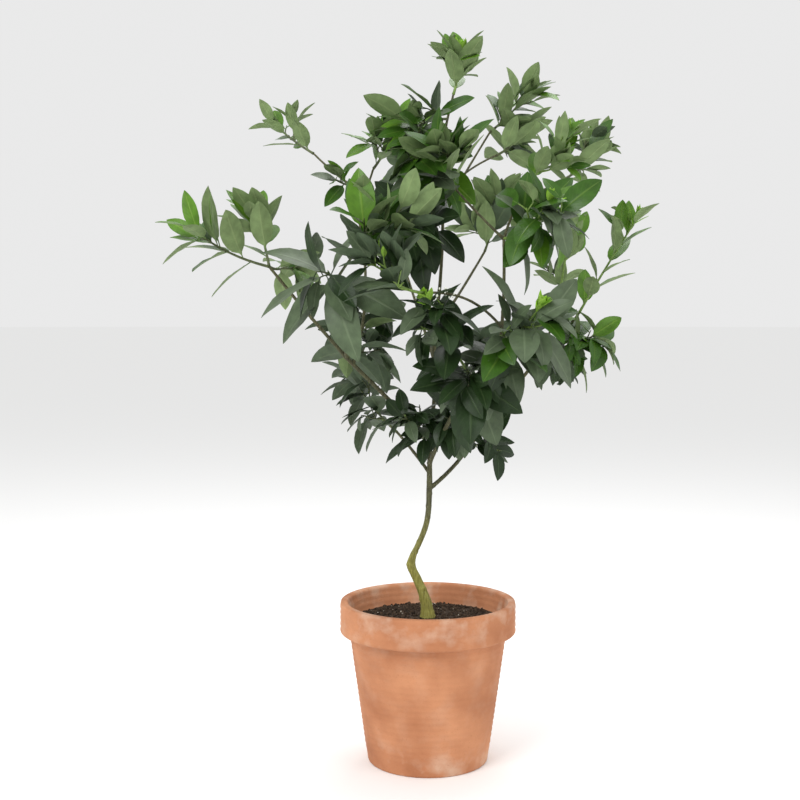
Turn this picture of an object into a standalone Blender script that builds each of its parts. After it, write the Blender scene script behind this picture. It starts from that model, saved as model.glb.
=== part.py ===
"""A young potted kumquat tree: a plain clay pot, its soil, a leaning trunk, tapering boughs and leafy masses.

Metres, +Z up. The origin is the centre of the pot's flat underside. Heights in the growth tables are
counted from the soil, so that a bough or a mass reads as it would be measured on the plant.
"""

import math
import random

import bmesh
import bpy
import numpy as np
from mathutils import Vector
from mathutils.bvhtree import BVHTree

# Pot and soil
POT_HEIGHT = 0.230
POT_FOOT_RADIUS = 0.086
POT_NECK_RADIUS = 0.112
POT_RIM_RADIUS = 0.125
POT_RIM_HEIGHT = 0.044
POT_WALL = 0.010
POT_FLOOR = 0.012
POT_EDGE = 0.003
POT_SIDES = 44
DRAIN_RADIUS = 0.006
DRAIN_CIRCLE = 0.045
DRAIN_COUNT = 3
DRAIN_SIDES = 12
SOIL_LEVEL = 0.205
SOIL_DIP = 0.004
SOIL_FLAT_RADIUS = 0.016

# Clearances
GAP = 0.0003
CLEAR = 0.0005
MARCH = 0.0001
LATEST_START = 0.6
MERGE = 0.00001

# Growth
GOLDEN_TURN = math.radians(137.5)
LIMB_SIDES = 6
TRUNK_SIDES = 9
TWIG_SIDES = 3
LIMB_STEP = 0.024
STEM_STEP = 0.022
TWIG_STEPS = 2
STEM_RADII = (0.0019, 0.0011)
TWIG_RADII = (0.0014, 0.0010)
TWIG_BARE = 0.28
TWIG_OPENING = math.radians(48)
TWIG_TURN_STEP = math.radians(50)
LEAF_TURN_STEP = math.radians(35)
BLADE_START = 0.06
TRIES = 6
UP = np.array([0.0, 0.0, 1.0])

# Height above the soil, sideways, backwards and radius, in millimetres
TRUNK_BENDS = (
    (0, 0, 0, 10.5),
    (7, -1, 0, 9.0),
    (22, -3, 0, 8.4),
    (38, -8, 0, 7.5),
    (57, -16, 0, 6.8),
    (77, -24, 0, 6.3),
    (90, -21, 0, 5.2),
    (105, -14, 0, 4.6),
    (130, -4, 0, 4.1),
    (188, 2, 0, 4.1),
    (217, 2, 0, 3.7),
    (263, 4, 0, 3.1),
    (321, 9, 2, 2.8),
    (402, 9, 6, 2.6),
    (482, 17, 4, 2.4),
    (567, 20, 0, 2.2),
    (645, 18, -2, 2.0),
    (699, 25, -6, 1.8),
    (738, 34, -8, 1.5),
)

# Carrier, place on it, tip, bow, base radius and tip radius, in millimetres. The place is a height on the
# trunk and a share of the length on a bough.
BOUGHS = {
    "bough_low_left": ("trunk", 208, (-44, 55, 261), (0, -3, 2), 2.4, 1.9),
    "bough_left_lower": ("trunk", 254, (-114, -30, 373), (-3, -3, 3), 3.1, 2.7),
    "bough_left_outer": ("bough_left_lower", 1.0, (-217, -70, 498), (0, 0, -2), 2.6, 1.9),
    "bough_front_left": ("bough_left_lower", 1.0, (-123, -120, 479), (0, -8, -3), 2.5, 1.9),
    "bough_upper_left": ("bough_left_lower", 0.92, (-113, 65, 622), (20, 6, -6), 2.4, 1.7),
    "bough_upper_left_outer": ("bough_upper_left", 1.0, (-168, 105, 671), (1, 0, -3), 1.7, 1.4),
    "bough_upper_left_inner": ("bough_upper_left", 0.86, (-78, 35, 641), (3, 0, 5), 1.6, 1.4),
    "bough_front_right": ("trunk", 222, (55, -130, 349), (-6, -10, -6), 3.0, 2.5),
    "bough_front_right_mid": ("bough_front_right", 1.0, (89, -150, 386), (0, -3, -1), 2.5, 2.3),
    "bough_front_right_upper": ("bough_front_right_mid", 1.0, (97, -110, 533), (2, -5, -7), 2.3, 1.9),
    "bough_crossing": ("bough_front_right_upper", 1.0, (33, -92, 601), (0, -2, -2), 1.8, 1.4),
    "bough_right_top": ("bough_front_right_upper", 1.0, (132, -75, 608), (-4, -2, -3), 1.8, 1.4),
    "bough_right_shoulder": ("bough_right_top", 0.55, (184, -25, 618), (-4, -3, 1), 1.6, 1.4),
    "bough_front_spray": ("bough_front_right_upper", 0.24, (-10, -215, 460), (4, -12, 14), 1.8, 1.5),
    "bough_right_lower": ("trunk", 186, (58, 35, 239), (1, -3, -3), 3.0, 2.6),
    "bough_right_mid": ("bough_right_lower", 1.0, (173, 80, 380), (-2, 3, -2), 2.6, 2.3),
    "bough_right_outer": ("bough_right_mid", 1.0, (221, 60, 435), (1, 2, -3), 2.1, 1.9),
    "bough_right_upright": ("bough_right_mid", 1.0, (201, 120, 471), (0, 0, -4), 1.8, 1.5),
    "bough_top_right": ("trunk", 573, (93, 100, 702), (-4, 5, -4), 1.8, 1.4),
    "bough_top_right_inner": ("trunk", 601, (100, 60, 663), (-3, -7, 4), 1.5, 1.3),
    "bough_back_left": ("trunk", 367, (-35, 160, 511), (2, 8, -6), 2.3, 1.7),
    "bough_back_right": ("trunk", 413, (90, 160, 530), (0, 7, -4), 2.2, 1.7),
}

# Leaf length and width share, distance between leaves, opening at the foot and the tip of a shoot, lift, bend
KINDS = {
    "mature": (0.070, 0.38, 0.015, math.radians(74), math.radians(44), -0.30, math.radians(38)),
    "broad": (0.084, 0.36, 0.013, math.radians(84), math.radians(66), -0.16, math.radians(26)),
    "young": (0.056, 0.36, 0.014, math.radians(58), math.radians(26), 0.16, math.radians(20)),
}
FLUSH_LENGTH = 0.026
FLUSH_WIDTH_SHARE = 0.30
FLUSH_OPENING = (math.radians(12), math.radians(44))
FLUSH_BEND = math.radians(8)
FLUSH_FOOT = 0.05

# How far a leaf's turn, opening, lift, roll, length, width and bend stray from the rule
TURN_SPREAD = 0.35
OPENING_SPREAD = 0.16
LIFT_SPREAD = 0.10
ROLL_SPREAD = 0.5
LENGTH_RANGE = (0.82, 1.12)
FLUSH_RANGE = (0.75, 1.20)
WIDTH_RANGE = (0.90, 1.12)
BEND_RANGE = (0.6, 1.3)
TIP_PULL = 0.5
SPREAD_PULL = 0.6

# The stem of each mass: carrier, place on it, tip and bow, as for a bough
STEMS = {
    "mass_low_left": ("bough_low_left", 1.0, (-117, 125, 353), (-6, 0, -3)),
    "mass_left_tip": ("bough_left_outer", 1.0, (-318, -115, 550), (-5, 2, -6)),
    "mass_left_upright": ("bough_left_outer", 1.0, (-238, -45, 569), (1, 3, 1)),
    "mass_left_knee": ("bough_left_outer", 1.0, (-183, -25, 513), (-1, -3, -9)),
    "mass_left_fork": ("bough_left_lower", 1.0, (-90, 50, 439), (4, 0, -8)),
    "mass_front_left_whorl": ("bough_front_left", 1.0, (-133, -155, 490), (0, 0, -3)),
    "mass_front_left_tip": ("bough_front_left", 1.0, (-37, -190, 566), (-11, -5, -4)),
    "mass_upper_left_knee": ("bough_upper_left", 1.0, (-133, 20, 625), (3, 2, -3)),
    "mass_upper_left_tip": ("bough_upper_left_outer", 1.0, (-234, 135, 723), (0, 0, -3)),
    "mass_upper_left_inner": ("bough_upper_left_inner", 1.0, (-44, 0, 697), (1, 3, -3)),
    "mass_crown_top": ("trunk", 738, (43, -10, 793), (2, 1, -1)),
    "mass_leader_left": ("trunk", 705, (-30, -55, 682), (0, 0, 4)),
    "mass_leader_upper": ("trunk", 635, (-19, -80, 642), (0, 1, 0)),
    "mass_leader_mid": ("trunk", 545, (-39, -100, 559), (0, 0, 4)),
    "mass_crossing_tip": ("bough_crossing", 1.0, (8, -112, 648), (1, 0, -1)),
    "mass_top_right_tip": ("bough_top_right", 1.0, (152, 130, 765), (2, 0, -2)),
    "mass_top_right_inner": ("bough_top_right_inner", 1.0, (143, 115, 702), (2, 0, -2)),
    "mass_right_top_tip": ("bough_right_top", 1.0, (193, -70, 674), (-4, -2, -2)),
    "mass_right_shoulder": ("bough_right_shoulder", 1.0, (244, 20, 669), (2, 2, -3)),
    "mass_right_inner": ("bough_front_right_upper", 1.0, (148, -180, 575), (6, -5, -7)),
    "mass_front_spray_tip": ("bough_front_spray", 1.0, (-60, -235, 506), (-12, -3, -9)),
    "mass_front_whorl": ("bough_front_right", 1.0, (50, -185, 358), (0, 0, -4)),
    "mass_front_flush_left": ("bough_front_right", 1.0, (-7, -210, 447), (-5, -5, 7)),
    "mass_front_flush_right": ("bough_front_right_mid", 1.0, (132, -215, 440), (-2, -3, -4)),
    "mass_right_low": ("bough_right_mid", 1.0, (212, 125, 355), (-1, -2, 6)),
    "mass_right_spray": ("bough_right_mid", 1.0, (241, 30, 404), (2, 5, -3)),
    "mass_right_tip": ("bough_right_outer", 1.0, (298, 30, 569), (-5, 0, -6)),
    "mass_right_upright": ("bough_right_upright", 1.0, (204, 155, 491), (1, 0, -3)),
    "mass_right_upright_tip": ("bough_right_upright", 1.0, (221, 165, 578), (1, -3, 1)),
    "mass_low_right": ("bough_right_lower", 1.0, (92, -15, 258), (-1, 2, 0)),
    "mass_inner_low_left": ("trunk", 245, (-35, -60, 297), (3, 0, -4)),
    "mass_inner_low_right": ("trunk", 281, (55, -55, 296), (-1, 3, -3)),
    "mass_back_left": ("bough_back_left", 1.0, (-54, 230, 593), (1, 0, -4)),
    "mass_back_right": ("bough_back_right", 1.0, (119, 230, 616), (0, 0, -4)),
    "mass_back_low": ("trunk", 333, (102, 140, 393), (-3, -1, -6)),
}

# Kind of leaf, leaf size, bare share, leaves on the stem, twigs, twig length, young leaves in the tuft, seed
LEAFING = {
    "mass_low_left": ("mature", 0.94, 0.10, 12, 3, 35, 0, 6),
    "mass_left_tip": ("young", 1.38, 0.16, 9, 1, 40, 0, 11),
    "mass_left_upright": ("young", 1.38, 0.14, 9, 1, 35, 0, 8),
    "mass_left_knee": ("mature", 1.03, 0.20, 5, 1, 35, 0, 7),
    "mass_left_fork": ("mature", 1.01, 0.10, 12, 3, 45, 0, 18),
    "mass_front_left_whorl": ("broad", 1.38, 0.15, 7, 0, 0, 0, 5),
    "mass_front_left_tip": ("young", 1.42, 0.30, 12, 3, 45, 0, 11),
    "mass_upper_left_knee": ("young", 0.92, 0.15, 6, 0, 0, 0, 9),
    "mass_upper_left_tip": ("young", 1.01, 0.08, 9, 1, 35, 0, 16),
    "mass_upper_left_inner": ("young", 1.21, 0.08, 10, 2, 35, 0, 8),
    "mass_crown_top": ("young", 1.06, 0.06, 9, 1, 30, 6, 14),
    "mass_leader_left": ("young", 1.32, 0.20, 12, 3, 35, 0, 10),
    "mass_leader_upper": ("mature", 1.10, 0.20, 9, 1, 40, 0, 9),
    "mass_leader_mid": ("mature", 1.26, 0.20, 12, 3, 50, 0, 13),
    "mass_crossing_tip": ("young", 1.42, 0.10, 9, 1, 35, 0, 2),
    "mass_top_right_tip": ("young", 1.15, 0.10, 12, 3, 30, 0, 5),
    "mass_top_right_inner": ("young", 1.15, 0.08, 10, 2, 35, 0, 9),
    "mass_right_top_tip": ("young", 1.05, 0.08, 10, 2, 35, 4, 3),
    "mass_right_shoulder": ("young", 1.10, 0.08, 9, 1, 35, 0, 13),
    "mass_right_inner": ("mature", 1.12, 0.16, 12, 3, 40, 4, 16),
    "mass_front_spray_tip": ("young", 1.23, 0.10, 12, 3, 30, 5, 14),
    "mass_front_whorl": ("mature", 1.31, 0.15, 9, 0, 0, 0, 17),
    "mass_front_flush_left": ("mature", 1.03, 0.20, 12, 3, 35, 6, 12),
    "mass_front_flush_right": ("mature", 1.31, 0.08, 10, 2, 35, 6, 8),
    "mass_right_low": ("mature", 0.81, 0.15, 7, 0, 0, 0, 16),
    "mass_right_spray": ("mature", 1.00, 0.30, 10, 2, 35, 0, 6),
    "mass_right_tip": ("young", 1.19, 0.06, 10, 0, 0, 6, 3),
    "mass_right_upright": ("young", 0.92, 0.15, 8, 1, 35, 0, 2),
    "mass_right_upright_tip": ("young", 1.09, 0.55, 9, 1, 45, 4, 8),
    "mass_low_right": ("mature", 0.88, 0.20, 5, 1, 35, 0, 2),
    "mass_inner_low_left": ("mature", 0.87, 0.25, 9, 1, 35, 0, 18),
    "mass_inner_low_right": ("mature", 0.95, 0.25, 9, 1, 35, 0, 7),
    "mass_back_left": ("young", 1.35, 0.06, 9, 1, 50, 0, 11),
    "mass_back_right": ("young", 1.42, 0.06, 12, 3, 50, 0, 20),
    "mass_back_low": ("mature", 1.23, 0.25, 9, 1, 50, 0, 12),
}


def unit(vector):
    return vector / np.linalg.norm(vector)


def lifted(place):
    """A place given in millimetres above the soil, in metres above the pot's underside."""
    return np.array(place) / 1000 + UP * SOIL_LEVEL


class Shoot:
    """A bowed line from start to tip: straight, plus a parabola of height bow that is zero at both ends."""

    def __init__(self, start, tip, bow, radii):
        self.start = start
        self.tip = tip
        self.bow = bow
        self.radii = radii
        self.length = float(np.linalg.norm(tip - start))
        self.reference = np.zeros(3)
        self.reference[np.argmin(np.abs(tip - start))] = 1.0

    def point(self, share):
        return self.start + (self.tip - self.start) * share + self.bow * (4 * share * (1 - share))

    def tangent(self, share):
        return unit(self.tip - self.start + self.bow * (4 - 8 * share))

    def radius(self, share):
        return self.radii[0] + (self.radii[1] - self.radii[0]) * share

    def frame(self, share):
        """The tangent and two unit vectors square to it, turning with it along the shoot."""
        tangent = self.tangent(share)
        side = unit(np.cross(tangent, self.reference))
        return tangent, side, np.cross(tangent, side)

    def solid(self, first, sides, steps, extra=0.0):
        """A tapering tube from the share first to the tip, wider by extra all round."""
        shares = np.linspace(first, 1.0, steps + 1)
        rings = [self.ring(share, sides, extra) for share in shares]
        return tube(rings)

    def ring(self, share, sides, extra=0.0):
        _, side, other = self.frame(share)
        turns = np.arange(sides) * (2 * math.pi / sides)
        spokes = np.outer(np.cos(turns), side) + np.outer(np.sin(turns), other)
        return self.point(share) + spokes * (self.radius(share) + extra)


class Trunk:
    """The leader: a smooth line through the named bends, found by its height above the soil."""

    def __init__(self):
        bends = np.array(TRUNK_BENDS) / 1000.0
        self.heights = bends[:, 0]
        self.rows = bends[:, 1:]
        self.slopes = np.gradient(self.rows, self.heights, axis=0)

    def row(self, height):
        """Sideways, backwards and radius by a cubic through the two nearest bends."""
        top = len(self.heights) - 2
        at = int(np.clip(np.searchsorted(self.heights, height, side="right") - 1, 0, top))
        span = self.heights[at + 1] - self.heights[at]
        t = (height - self.heights[at]) / span
        low, high = self.rows[at], self.rows[at + 1]
        rise, fall = self.slopes[at] * span, self.slopes[at + 1] * span
        start_share = (1 + 2 * t) * (1 - t) ** 2
        return low * start_share + high * (1 - start_share) + rise * t * (1 - t) ** 2 - fall * t * t * (1 - t)

    def point(self, height):
        sideways, backwards, _ = self.row(height)
        return np.array([sideways, backwards, SOIL_LEVEL + height])

    def radius(self, height):
        return self.row(height)[2]

    def solid(self):
        """Level rings at the bends, from the flat cut at the soil to the tip."""
        turns = np.arange(TRUNK_SIDES) * (2 * math.pi / TRUNK_SIDES)
        spokes = np.stack([np.cos(turns), np.sin(turns), np.zeros(TRUNK_SIDES)], axis=1)
        rings = [self.point(height) + spokes * self.radius(height) for height in self.heights]
        rings[0] = rings[0] + UP * GAP
        return tube(rings)


def tube(rings):
    """A closed tube through rings of equal count, with a flat cap at each end."""
    sides = len(rings[0])
    faces = [tuple(range(sides))[::-1]]
    for row in range(len(rings) - 1):
        for column in range(sides):
            low = row * sides + column
            low_next = row * sides + (column + 1) % sides
            faces.append((low, low_next, low_next + sides))
            faces.append((low, low_next + sides, low + sides))
    last = (len(rings) - 1) * sides
    faces.append(tuple(range(last, last + sides)))
    return np.concatenate(rings), faces


class Leaf:
    """A blade from a root in its shoot: it leaves along a direction, faces a second one and bends back."""

    ROOT_HALF = 0.0002
    WIDEST_SHARE = 0.45
    WIDEST_HALF = 0.55
    RISE_SHARE = 0.12
    KEEL_SHARE = 0.018

    def __init__(self, root, along, face, length, width, bend):
        self.root = root
        self.along = along
        self.face = face
        self.side = np.cross(face, along)
        self.length = length
        self.width = width
        self.bend = bend

    def centre(self, share):
        """A point on the midrib: the blade follows an arc that turns by bend from root to tip."""
        angle = self.bend * share
        forward = math.sin(angle) / self.bend
        back = (1 - math.cos(angle)) / self.bend
        return self.root + (self.along * forward - self.face * back) * self.length

    def normal(self, share):
        angle = self.bend * share
        return self.face * math.cos(angle) + self.along * math.sin(angle)

    def ring(self, share, half, rise, keel):
        centre, normal = self.centre(share), self.normal(share)
        right = centre + self.side * half + normal * rise
        left = centre - self.side * half + normal * rise
        return np.array([right, left, centre - normal * keel])

    def solid(self, extra=0.0, first_share=0.0):
        """A ring of three points at the root, one where it is widest, and the tip: 10 triangles."""
        keel = self.KEEL_SHARE * self.length + extra
        widest = self.WIDEST_HALF * self.width
        root = self.ROOT_HALF + (widest - self.ROOT_HALF) * first_share / self.WIDEST_SHARE
        root_ring = self.ring(first_share, root + extra, extra, self.ROOT_HALF + extra)
        widest_ring = self.ring(self.WIDEST_SHARE, widest + extra, widest * self.RISE_SHARE + extra, keel)
        tip = self.centre(1.0) + unit(self.centre(1.0) - self.centre(0.9)) * extra
        faces = [(2, 1, 0)]
        for column in range(3):
            column_next = (column + 1) % 3
            faces.append((column, column_next, column_next + 3))
            faces.append((column, column_next + 3, column + 3))
            faces.append((column + 3, column_next + 3, 6))
        return np.concatenate([root_ring, widest_ring, tip[None]]), faces


class Space:
    """Every solid placed so far, with its owner, so that a new one can keep clear of the rest."""

    def __init__(self):
        self.owners = []
        self.shoots = []
        self.trees = []
        self.lows = np.zeros((0, 3))
        self.highs = np.zeros((0, 3))

    def add(self, owner, shoot, solid):
        points, faces = solid
        self.owners.append(owner)
        self.shoots.append(shoot)
        self.trees.append(search_tree(solid))
        self.lows = np.concatenate([self.lows, points.min(0)[None]])
        self.highs = np.concatenate([self.highs, points.max(0)[None]])

    def near(self, low, high):
        boxes = np.all(self.lows <= high, axis=1) & np.all(self.highs >= low, axis=1)
        return np.nonzero(boxes)[0]

    def touched(self, solid, skip_owner=None, skip_shoot=None, only_owner=None):
        """The owner of the first placed solid that this one would touch, or None."""
        points, _ = solid
        tree = search_tree(solid)
        for at in self.near(points.min(0), points.max(0)):
            if self.owners[at] == skip_owner or self.shoots[at] == skip_shoot:
                continue
            if only_owner is not None and self.owners[at] != only_owner:
                continue
            if tree.overlap(self.trees[at]):
                return self.owners[at]
        return None

    def distance(self, place):
        """The distance from a place to the nearest solid, below zero inside one."""
        least = 2 * CLEAR
        for at in self.near(place - least, place + least):
            hit, normal, _, away = self.trees[at].find_nearest(Vector(place))
            inside = (Vector(place) - hit).dot(normal) < 0
            least = min(least, -away if inside else away)
        return least


def search_tree(solid):
    points, faces = solid
    return BVHTree.FromPolygons(points.tolist(), faces)


def clear_tube(shoot, sides, steps, space):
    """The shoot's tube from the first share where it stands the gap clear of all that is placed."""
    step = MARCH / shoot.length
    share = 0.0
    while share < LATEST_START:
        ring = shoot.ring(share, sides)
        between = (ring + np.roll(ring, 1, axis=0)) / 2
        samples = np.concatenate([ring, between, shoot.point(share)[None]])
        if min(space.distance(place) for place in samples) >= GAP:
            if space.touched(shoot.solid(share, sides, steps, GAP / 2)) is None:
                return shoot.solid(share, sides, steps)
        share += step
    raise ValueError("a shoot never comes clear of its carrier")


def shoot_from(limbs, carrier, place, tip, bow, radii):
    """A shoot that leaves its carrier's middle line at the given place, from one row of a table."""
    if carrier == "trunk":
        place = place / 1000
    return Shoot(limbs[carrier].point(place), lifted(tip), np.array(bow) / 1000, radii)


def grow_limbs(space):
    """The trunk and every bough, each bough starting the gap clear of the limb that carries it."""
    limbs = {"trunk": Trunk()}
    solids = {"trunk": limbs["trunk"].solid()}
    space.add("trunk", "trunk", solids["trunk"])
    for name, (carrier, place, tip, bow, base_radius, tip_radius) in BOUGHS.items():
        radii = (base_radius / 1000, tip_radius / 1000)
        limb = shoot_from(limbs, carrier, place, tip, bow, radii)
        solid = clear_tube(limb, LIMB_SIDES, max(3, round(limb.length / LIMB_STEP)), space)
        limbs[name] = limb
        solids[name] = solid
        space.add(name, name, solid)
    return limbs, solids


def grow_stems(limbs, space):
    """The stem of every mass, placed before any leaf so that leaves keep clear of all stems."""
    stems, solids = {}, {}
    for name, row in STEMS.items():
        stem = shoot_from(limbs, *row, STEM_RADII)
        solid = clear_tube(stem, TWIG_SIDES, max(3, round(stem.length / STEM_STEP)), space)
        stems[name] = stem
        solids[name] = solid
        space.add(name, name, solid)
    return stems, solids


def chance_for(*numbers):
    """A random source of its own for each try at a twig or leaf, so that no piece changes another."""
    key = 0
    for number in numbers:
        key = key * 1000 + number
    return random.Random(key)


def stray(chance, spread):
    return chance.uniform(-spread, spread)


def twig_tries(name, stem, number):
    """The seeded candidates for one twig of a mass: each turns on round the stem from the one before."""
    _, _, bare, _, count, reach, _, seed = LEAFING[name]
    share = bare + (0.85 - bare) * (number + 0.5) / count
    for attempt in range(TRIES):
        chance = chance_for(1, seed, number, attempt)
        turn = seed + number * GOLDEN_TURN + attempt * TWIG_TURN_STEP + stray(chance, TURN_SPREAD)
        length = reach / 1000 * (1.1 - 0.3 * share) * chance.uniform(0.85, 1.15)
        tangent, side, other = stem.frame(share)
        out = side * math.cos(turn) + other * math.sin(turn)
        along = unit(tangent * math.cos(TWIG_OPENING) + out * math.sin(TWIG_OPENING) + UP * 0.25)
        start = stem.point(share)
        yield Shoot(start, start + along * length, UP * -0.05 * length, TWIG_RADII)


def grow_twigs(name, stem, space):
    """The twigs of a mass that keep clear of every limb and of the other masses' shoots."""
    twigs = []
    for number in range(LEAFING[name][4]):
        for twig in twig_tries(name, stem, number):
            if space.touched(twig.solid(0.0, TWIG_SIDES, TWIG_STEPS, CLEAR), skip_shoot=name) is None:
                twigs.append((f"{name} twig {number}", number + 1, twig))
                space.add(name, f"{name} twig {number}", twig.solid(0.0, TWIG_SIDES, TWIG_STEPS))
                break
    return twigs


def leaf_tries(name, shoot, shoot_number, bare, number, count):
    """The seeded candidates for one leaf of a shoot, spiralling up it by the golden turn."""
    kind, size, seed = LEAFING[name][0], LEAFING[name][1], LEAFING[name][-1]
    length, width_share, _, open_foot, open_tip, lift, bend = KINDS[kind]
    share = bare + (1.0 - bare) * (number + 0.4) / count
    fullness = 0.72 + 0.28 * math.sin(math.pi * min(1.0, 0.25 + 0.75 * share))
    for attempt in range(TRIES):
        chance = chance_for(2, seed, shoot_number, number, attempt)
        turn = seed * 1.7 + number * GOLDEN_TURN + attempt * LEAF_TURN_STEP + stray(chance, TURN_SPREAD)
        opening = open_foot + (open_tip - open_foot) * share + stray(chance, OPENING_SPREAD)
        tangent, side, other = shoot.frame(share)
        out = side * math.cos(turn) + other * math.sin(turn)
        pull = UP * (lift + stray(chance, LIFT_SPREAD))
        along = unit(tangent * math.cos(opening) + out * math.sin(opening) + pull)
        long = length * size * fullness * chance.uniform(*LENGTH_RANGE)
        wide = long * width_share * chance.uniform(*WIDTH_RANGE)
        roll = stray(chance, ROLL_SPREAD)
        curl = bend * chance.uniform(*BEND_RANGE)
        yield make_leaf(shoot.point(share), along, tangent, out, roll, long, wide, curl)


def make_leaf(root, along, tangent, out, roll, long, wide, bend):
    """A leaf whose upper side looks to the light and to its shoot's tip, rolled a little about its midrib."""
    light = UP + tangent * TIP_PULL - out * SPREAD_PULL
    face = unit(light - along * light.dot(along))
    side = np.cross(face, along)
    face = face * math.cos(roll) + side * math.sin(roll)
    return Leaf(root, along, face, long, wide, bend)


def tuft_tries(name, shoot, number, count):
    """The seeded candidates for one small leaf of the tuft at the stem's tip."""
    seed = LEAFING[name][-1]
    share = 1.0 - FLUSH_FOOT * (1 - number / count)
    for attempt in range(TRIES):
        chance = chance_for(3, seed, number, attempt)
        turn = number * GOLDEN_TURN + attempt * LEAF_TURN_STEP + stray(chance, TURN_SPREAD)
        opening = FLUSH_OPENING[1] + (FLUSH_OPENING[0] - FLUSH_OPENING[1]) * number / count
        tangent, side, other = shoot.frame(share)
        out = side * math.cos(turn) + other * math.sin(turn)
        along = unit(tangent * math.cos(opening) + out * math.sin(opening) + UP * 0.2)
        long = FLUSH_LENGTH * chance.uniform(*FLUSH_RANGE)
        wide = long * FLUSH_WIDTH_SHARE
        roll = stray(chance, ROLL_SPREAD)
        yield make_leaf(shoot.point(share), along, tangent, out, roll, long, wide, FLUSH_BEND)


def leaf_slots(name, stem, twigs):
    """Each leaf's place in a mass: its shoot's name and the candidates for it, from foot to tip."""
    kind, _, bare, on_stem, _, _, tuft, _ = LEAFING[name]
    for number in range(on_stem):
        yield name, leaf_tries(name, stem, 0, bare, number, on_stem)
    for twig_name, twig_number, twig in twigs:
        count = max(2, round(twig.length * (1 - TWIG_BARE) / KINDS[kind][2]))
        for number in range(count):
            yield twig_name, leaf_tries(name, twig, twig_number, TWIG_BARE, number, count)
    for number in range(tuft):
        yield name, tuft_tries(name, stem, number, tuft)


def grow_leaves(name, stem, twigs, space):
    """The leaves of a mass: each takes its first candidate that touches nothing, or is skipped."""
    leaves = []
    for shoot_name, tries in leaf_slots(name, stem, twigs):
        for leaf in tries:
            if space.touched(leaf.solid(CLEAR), skip_owner=name):
                continue
            if space.touched(leaf.solid(CLEAR, BLADE_START), skip_shoot=shoot_name, only_owner=name):
                continue
            leaves.append(leaf)
            space.add(name, f"{name} leaf {len(leaves)}", leaf.solid(0.0, BLADE_START))
            break
    return leaves


def new_object(name, solid, colour, roughness):
    """A named object with its own material from points and faces."""
    points, faces = solid
    mesh = bpy.data.meshes.new(name)
    mesh.from_pydata(points.tolist(), [], faces)
    mesh.update()
    obj = bpy.data.objects.new(name, mesh)
    bpy.context.scene.collection.objects.link(obj)
    mesh.materials.append(plain_material(name, colour, roughness))
    return obj


def plain_material(name, colour, roughness):
    material = bpy.data.materials.new(name)
    material.use_nodes = True
    shader = material.node_tree.nodes["Principled BSDF"]
    shader.inputs["Base Color"].default_value = (*colour, 1.0)
    shader.inputs["Roughness"].default_value = roughness
    shader.inputs["Metallic"].default_value = 0.0
    material.diffuse_color = (*colour, 1.0)
    return material


def turned(profile, sides):
    """A solid turned about the Z axis from radius and height pairs that begin and end on the axis."""
    turns = np.arange(sides) * (2 * math.pi / sides)
    rings = []
    for radius, height in profile[1:-1]:
        rings.append(np.stack([radius * np.cos(turns), radius * np.sin(turns), np.full(sides, height)], axis=1))
    return tube(rings)


def pot_profile():
    """The outside from the foot up, over the rim and down the inside to the floor."""
    rim_foot = POT_HEIGHT - POT_RIM_HEIGHT
    inner_rim = POT_RIM_RADIUS - POT_WALL
    inner_foot = POT_FOOT_RADIUS - POT_WALL
    return (
        (0.0, 0.0),
        (POT_FOOT_RADIUS - POT_EDGE, 0.0),
        (POT_FOOT_RADIUS, POT_EDGE),
        (POT_NECK_RADIUS, rim_foot),
        (POT_RIM_RADIUS - POT_EDGE, rim_foot),
        (POT_RIM_RADIUS, rim_foot + POT_EDGE),
        (POT_RIM_RADIUS, POT_HEIGHT - POT_EDGE),
        (POT_RIM_RADIUS - POT_EDGE, POT_HEIGHT),
        (inner_rim + POT_EDGE, POT_HEIGHT),
        (inner_rim, POT_HEIGHT - POT_EDGE),
        (inner_radius(rim_foot), rim_foot),
        (inner_foot, POT_FLOOR + POT_EDGE),
        (inner_foot - POT_EDGE, POT_FLOOR),
        (0.0, POT_FLOOR),
    )


def inner_radius(height):
    """The inside radius: a straight taper from the floor to the neck, wider above it up to the rim."""
    inner_foot = POT_FOOT_RADIUS - POT_WALL
    inner_neck = POT_NECK_RADIUS - POT_WALL
    inner_rim = POT_RIM_RADIUS - POT_WALL
    floor_edge, neck, rim = POT_FLOOR + POT_EDGE, POT_HEIGHT - POT_RIM_HEIGHT, POT_HEIGHT - POT_EDGE
    return float(np.interp(height, (floor_edge, neck, rim), (inner_foot, inner_neck, inner_rim)))


def build_pot():
    """The clay pot, with drain holes cut through its floor."""
    pot = new_object("pot", turned(pot_profile(), POT_SIDES), (0.62, 0.30, 0.17), 0.85)
    for number in range(DRAIN_COUNT):
        turn = 2 * math.pi * number / DRAIN_COUNT + math.pi / 2
        bpy.ops.mesh.primitive_cylinder_add(vertices=DRAIN_SIDES, radius=DRAIN_RADIUS, depth=4 * POT_FLOOR)
        cutter = bpy.context.object
        cutter.name = f"drain_cutter_{number}"
        cutter.location = (DRAIN_CIRCLE * math.cos(turn), DRAIN_CIRCLE * math.sin(turn), 0.0)
        cutter.hide_render = True
        cutter.display_type = "WIRE"
        cut = pot.modifiers.new(f"drain_{number}", "BOOLEAN")
        cut.operation = "DIFFERENCE"
        cut.object = cutter
    shade_round(pot)


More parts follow.
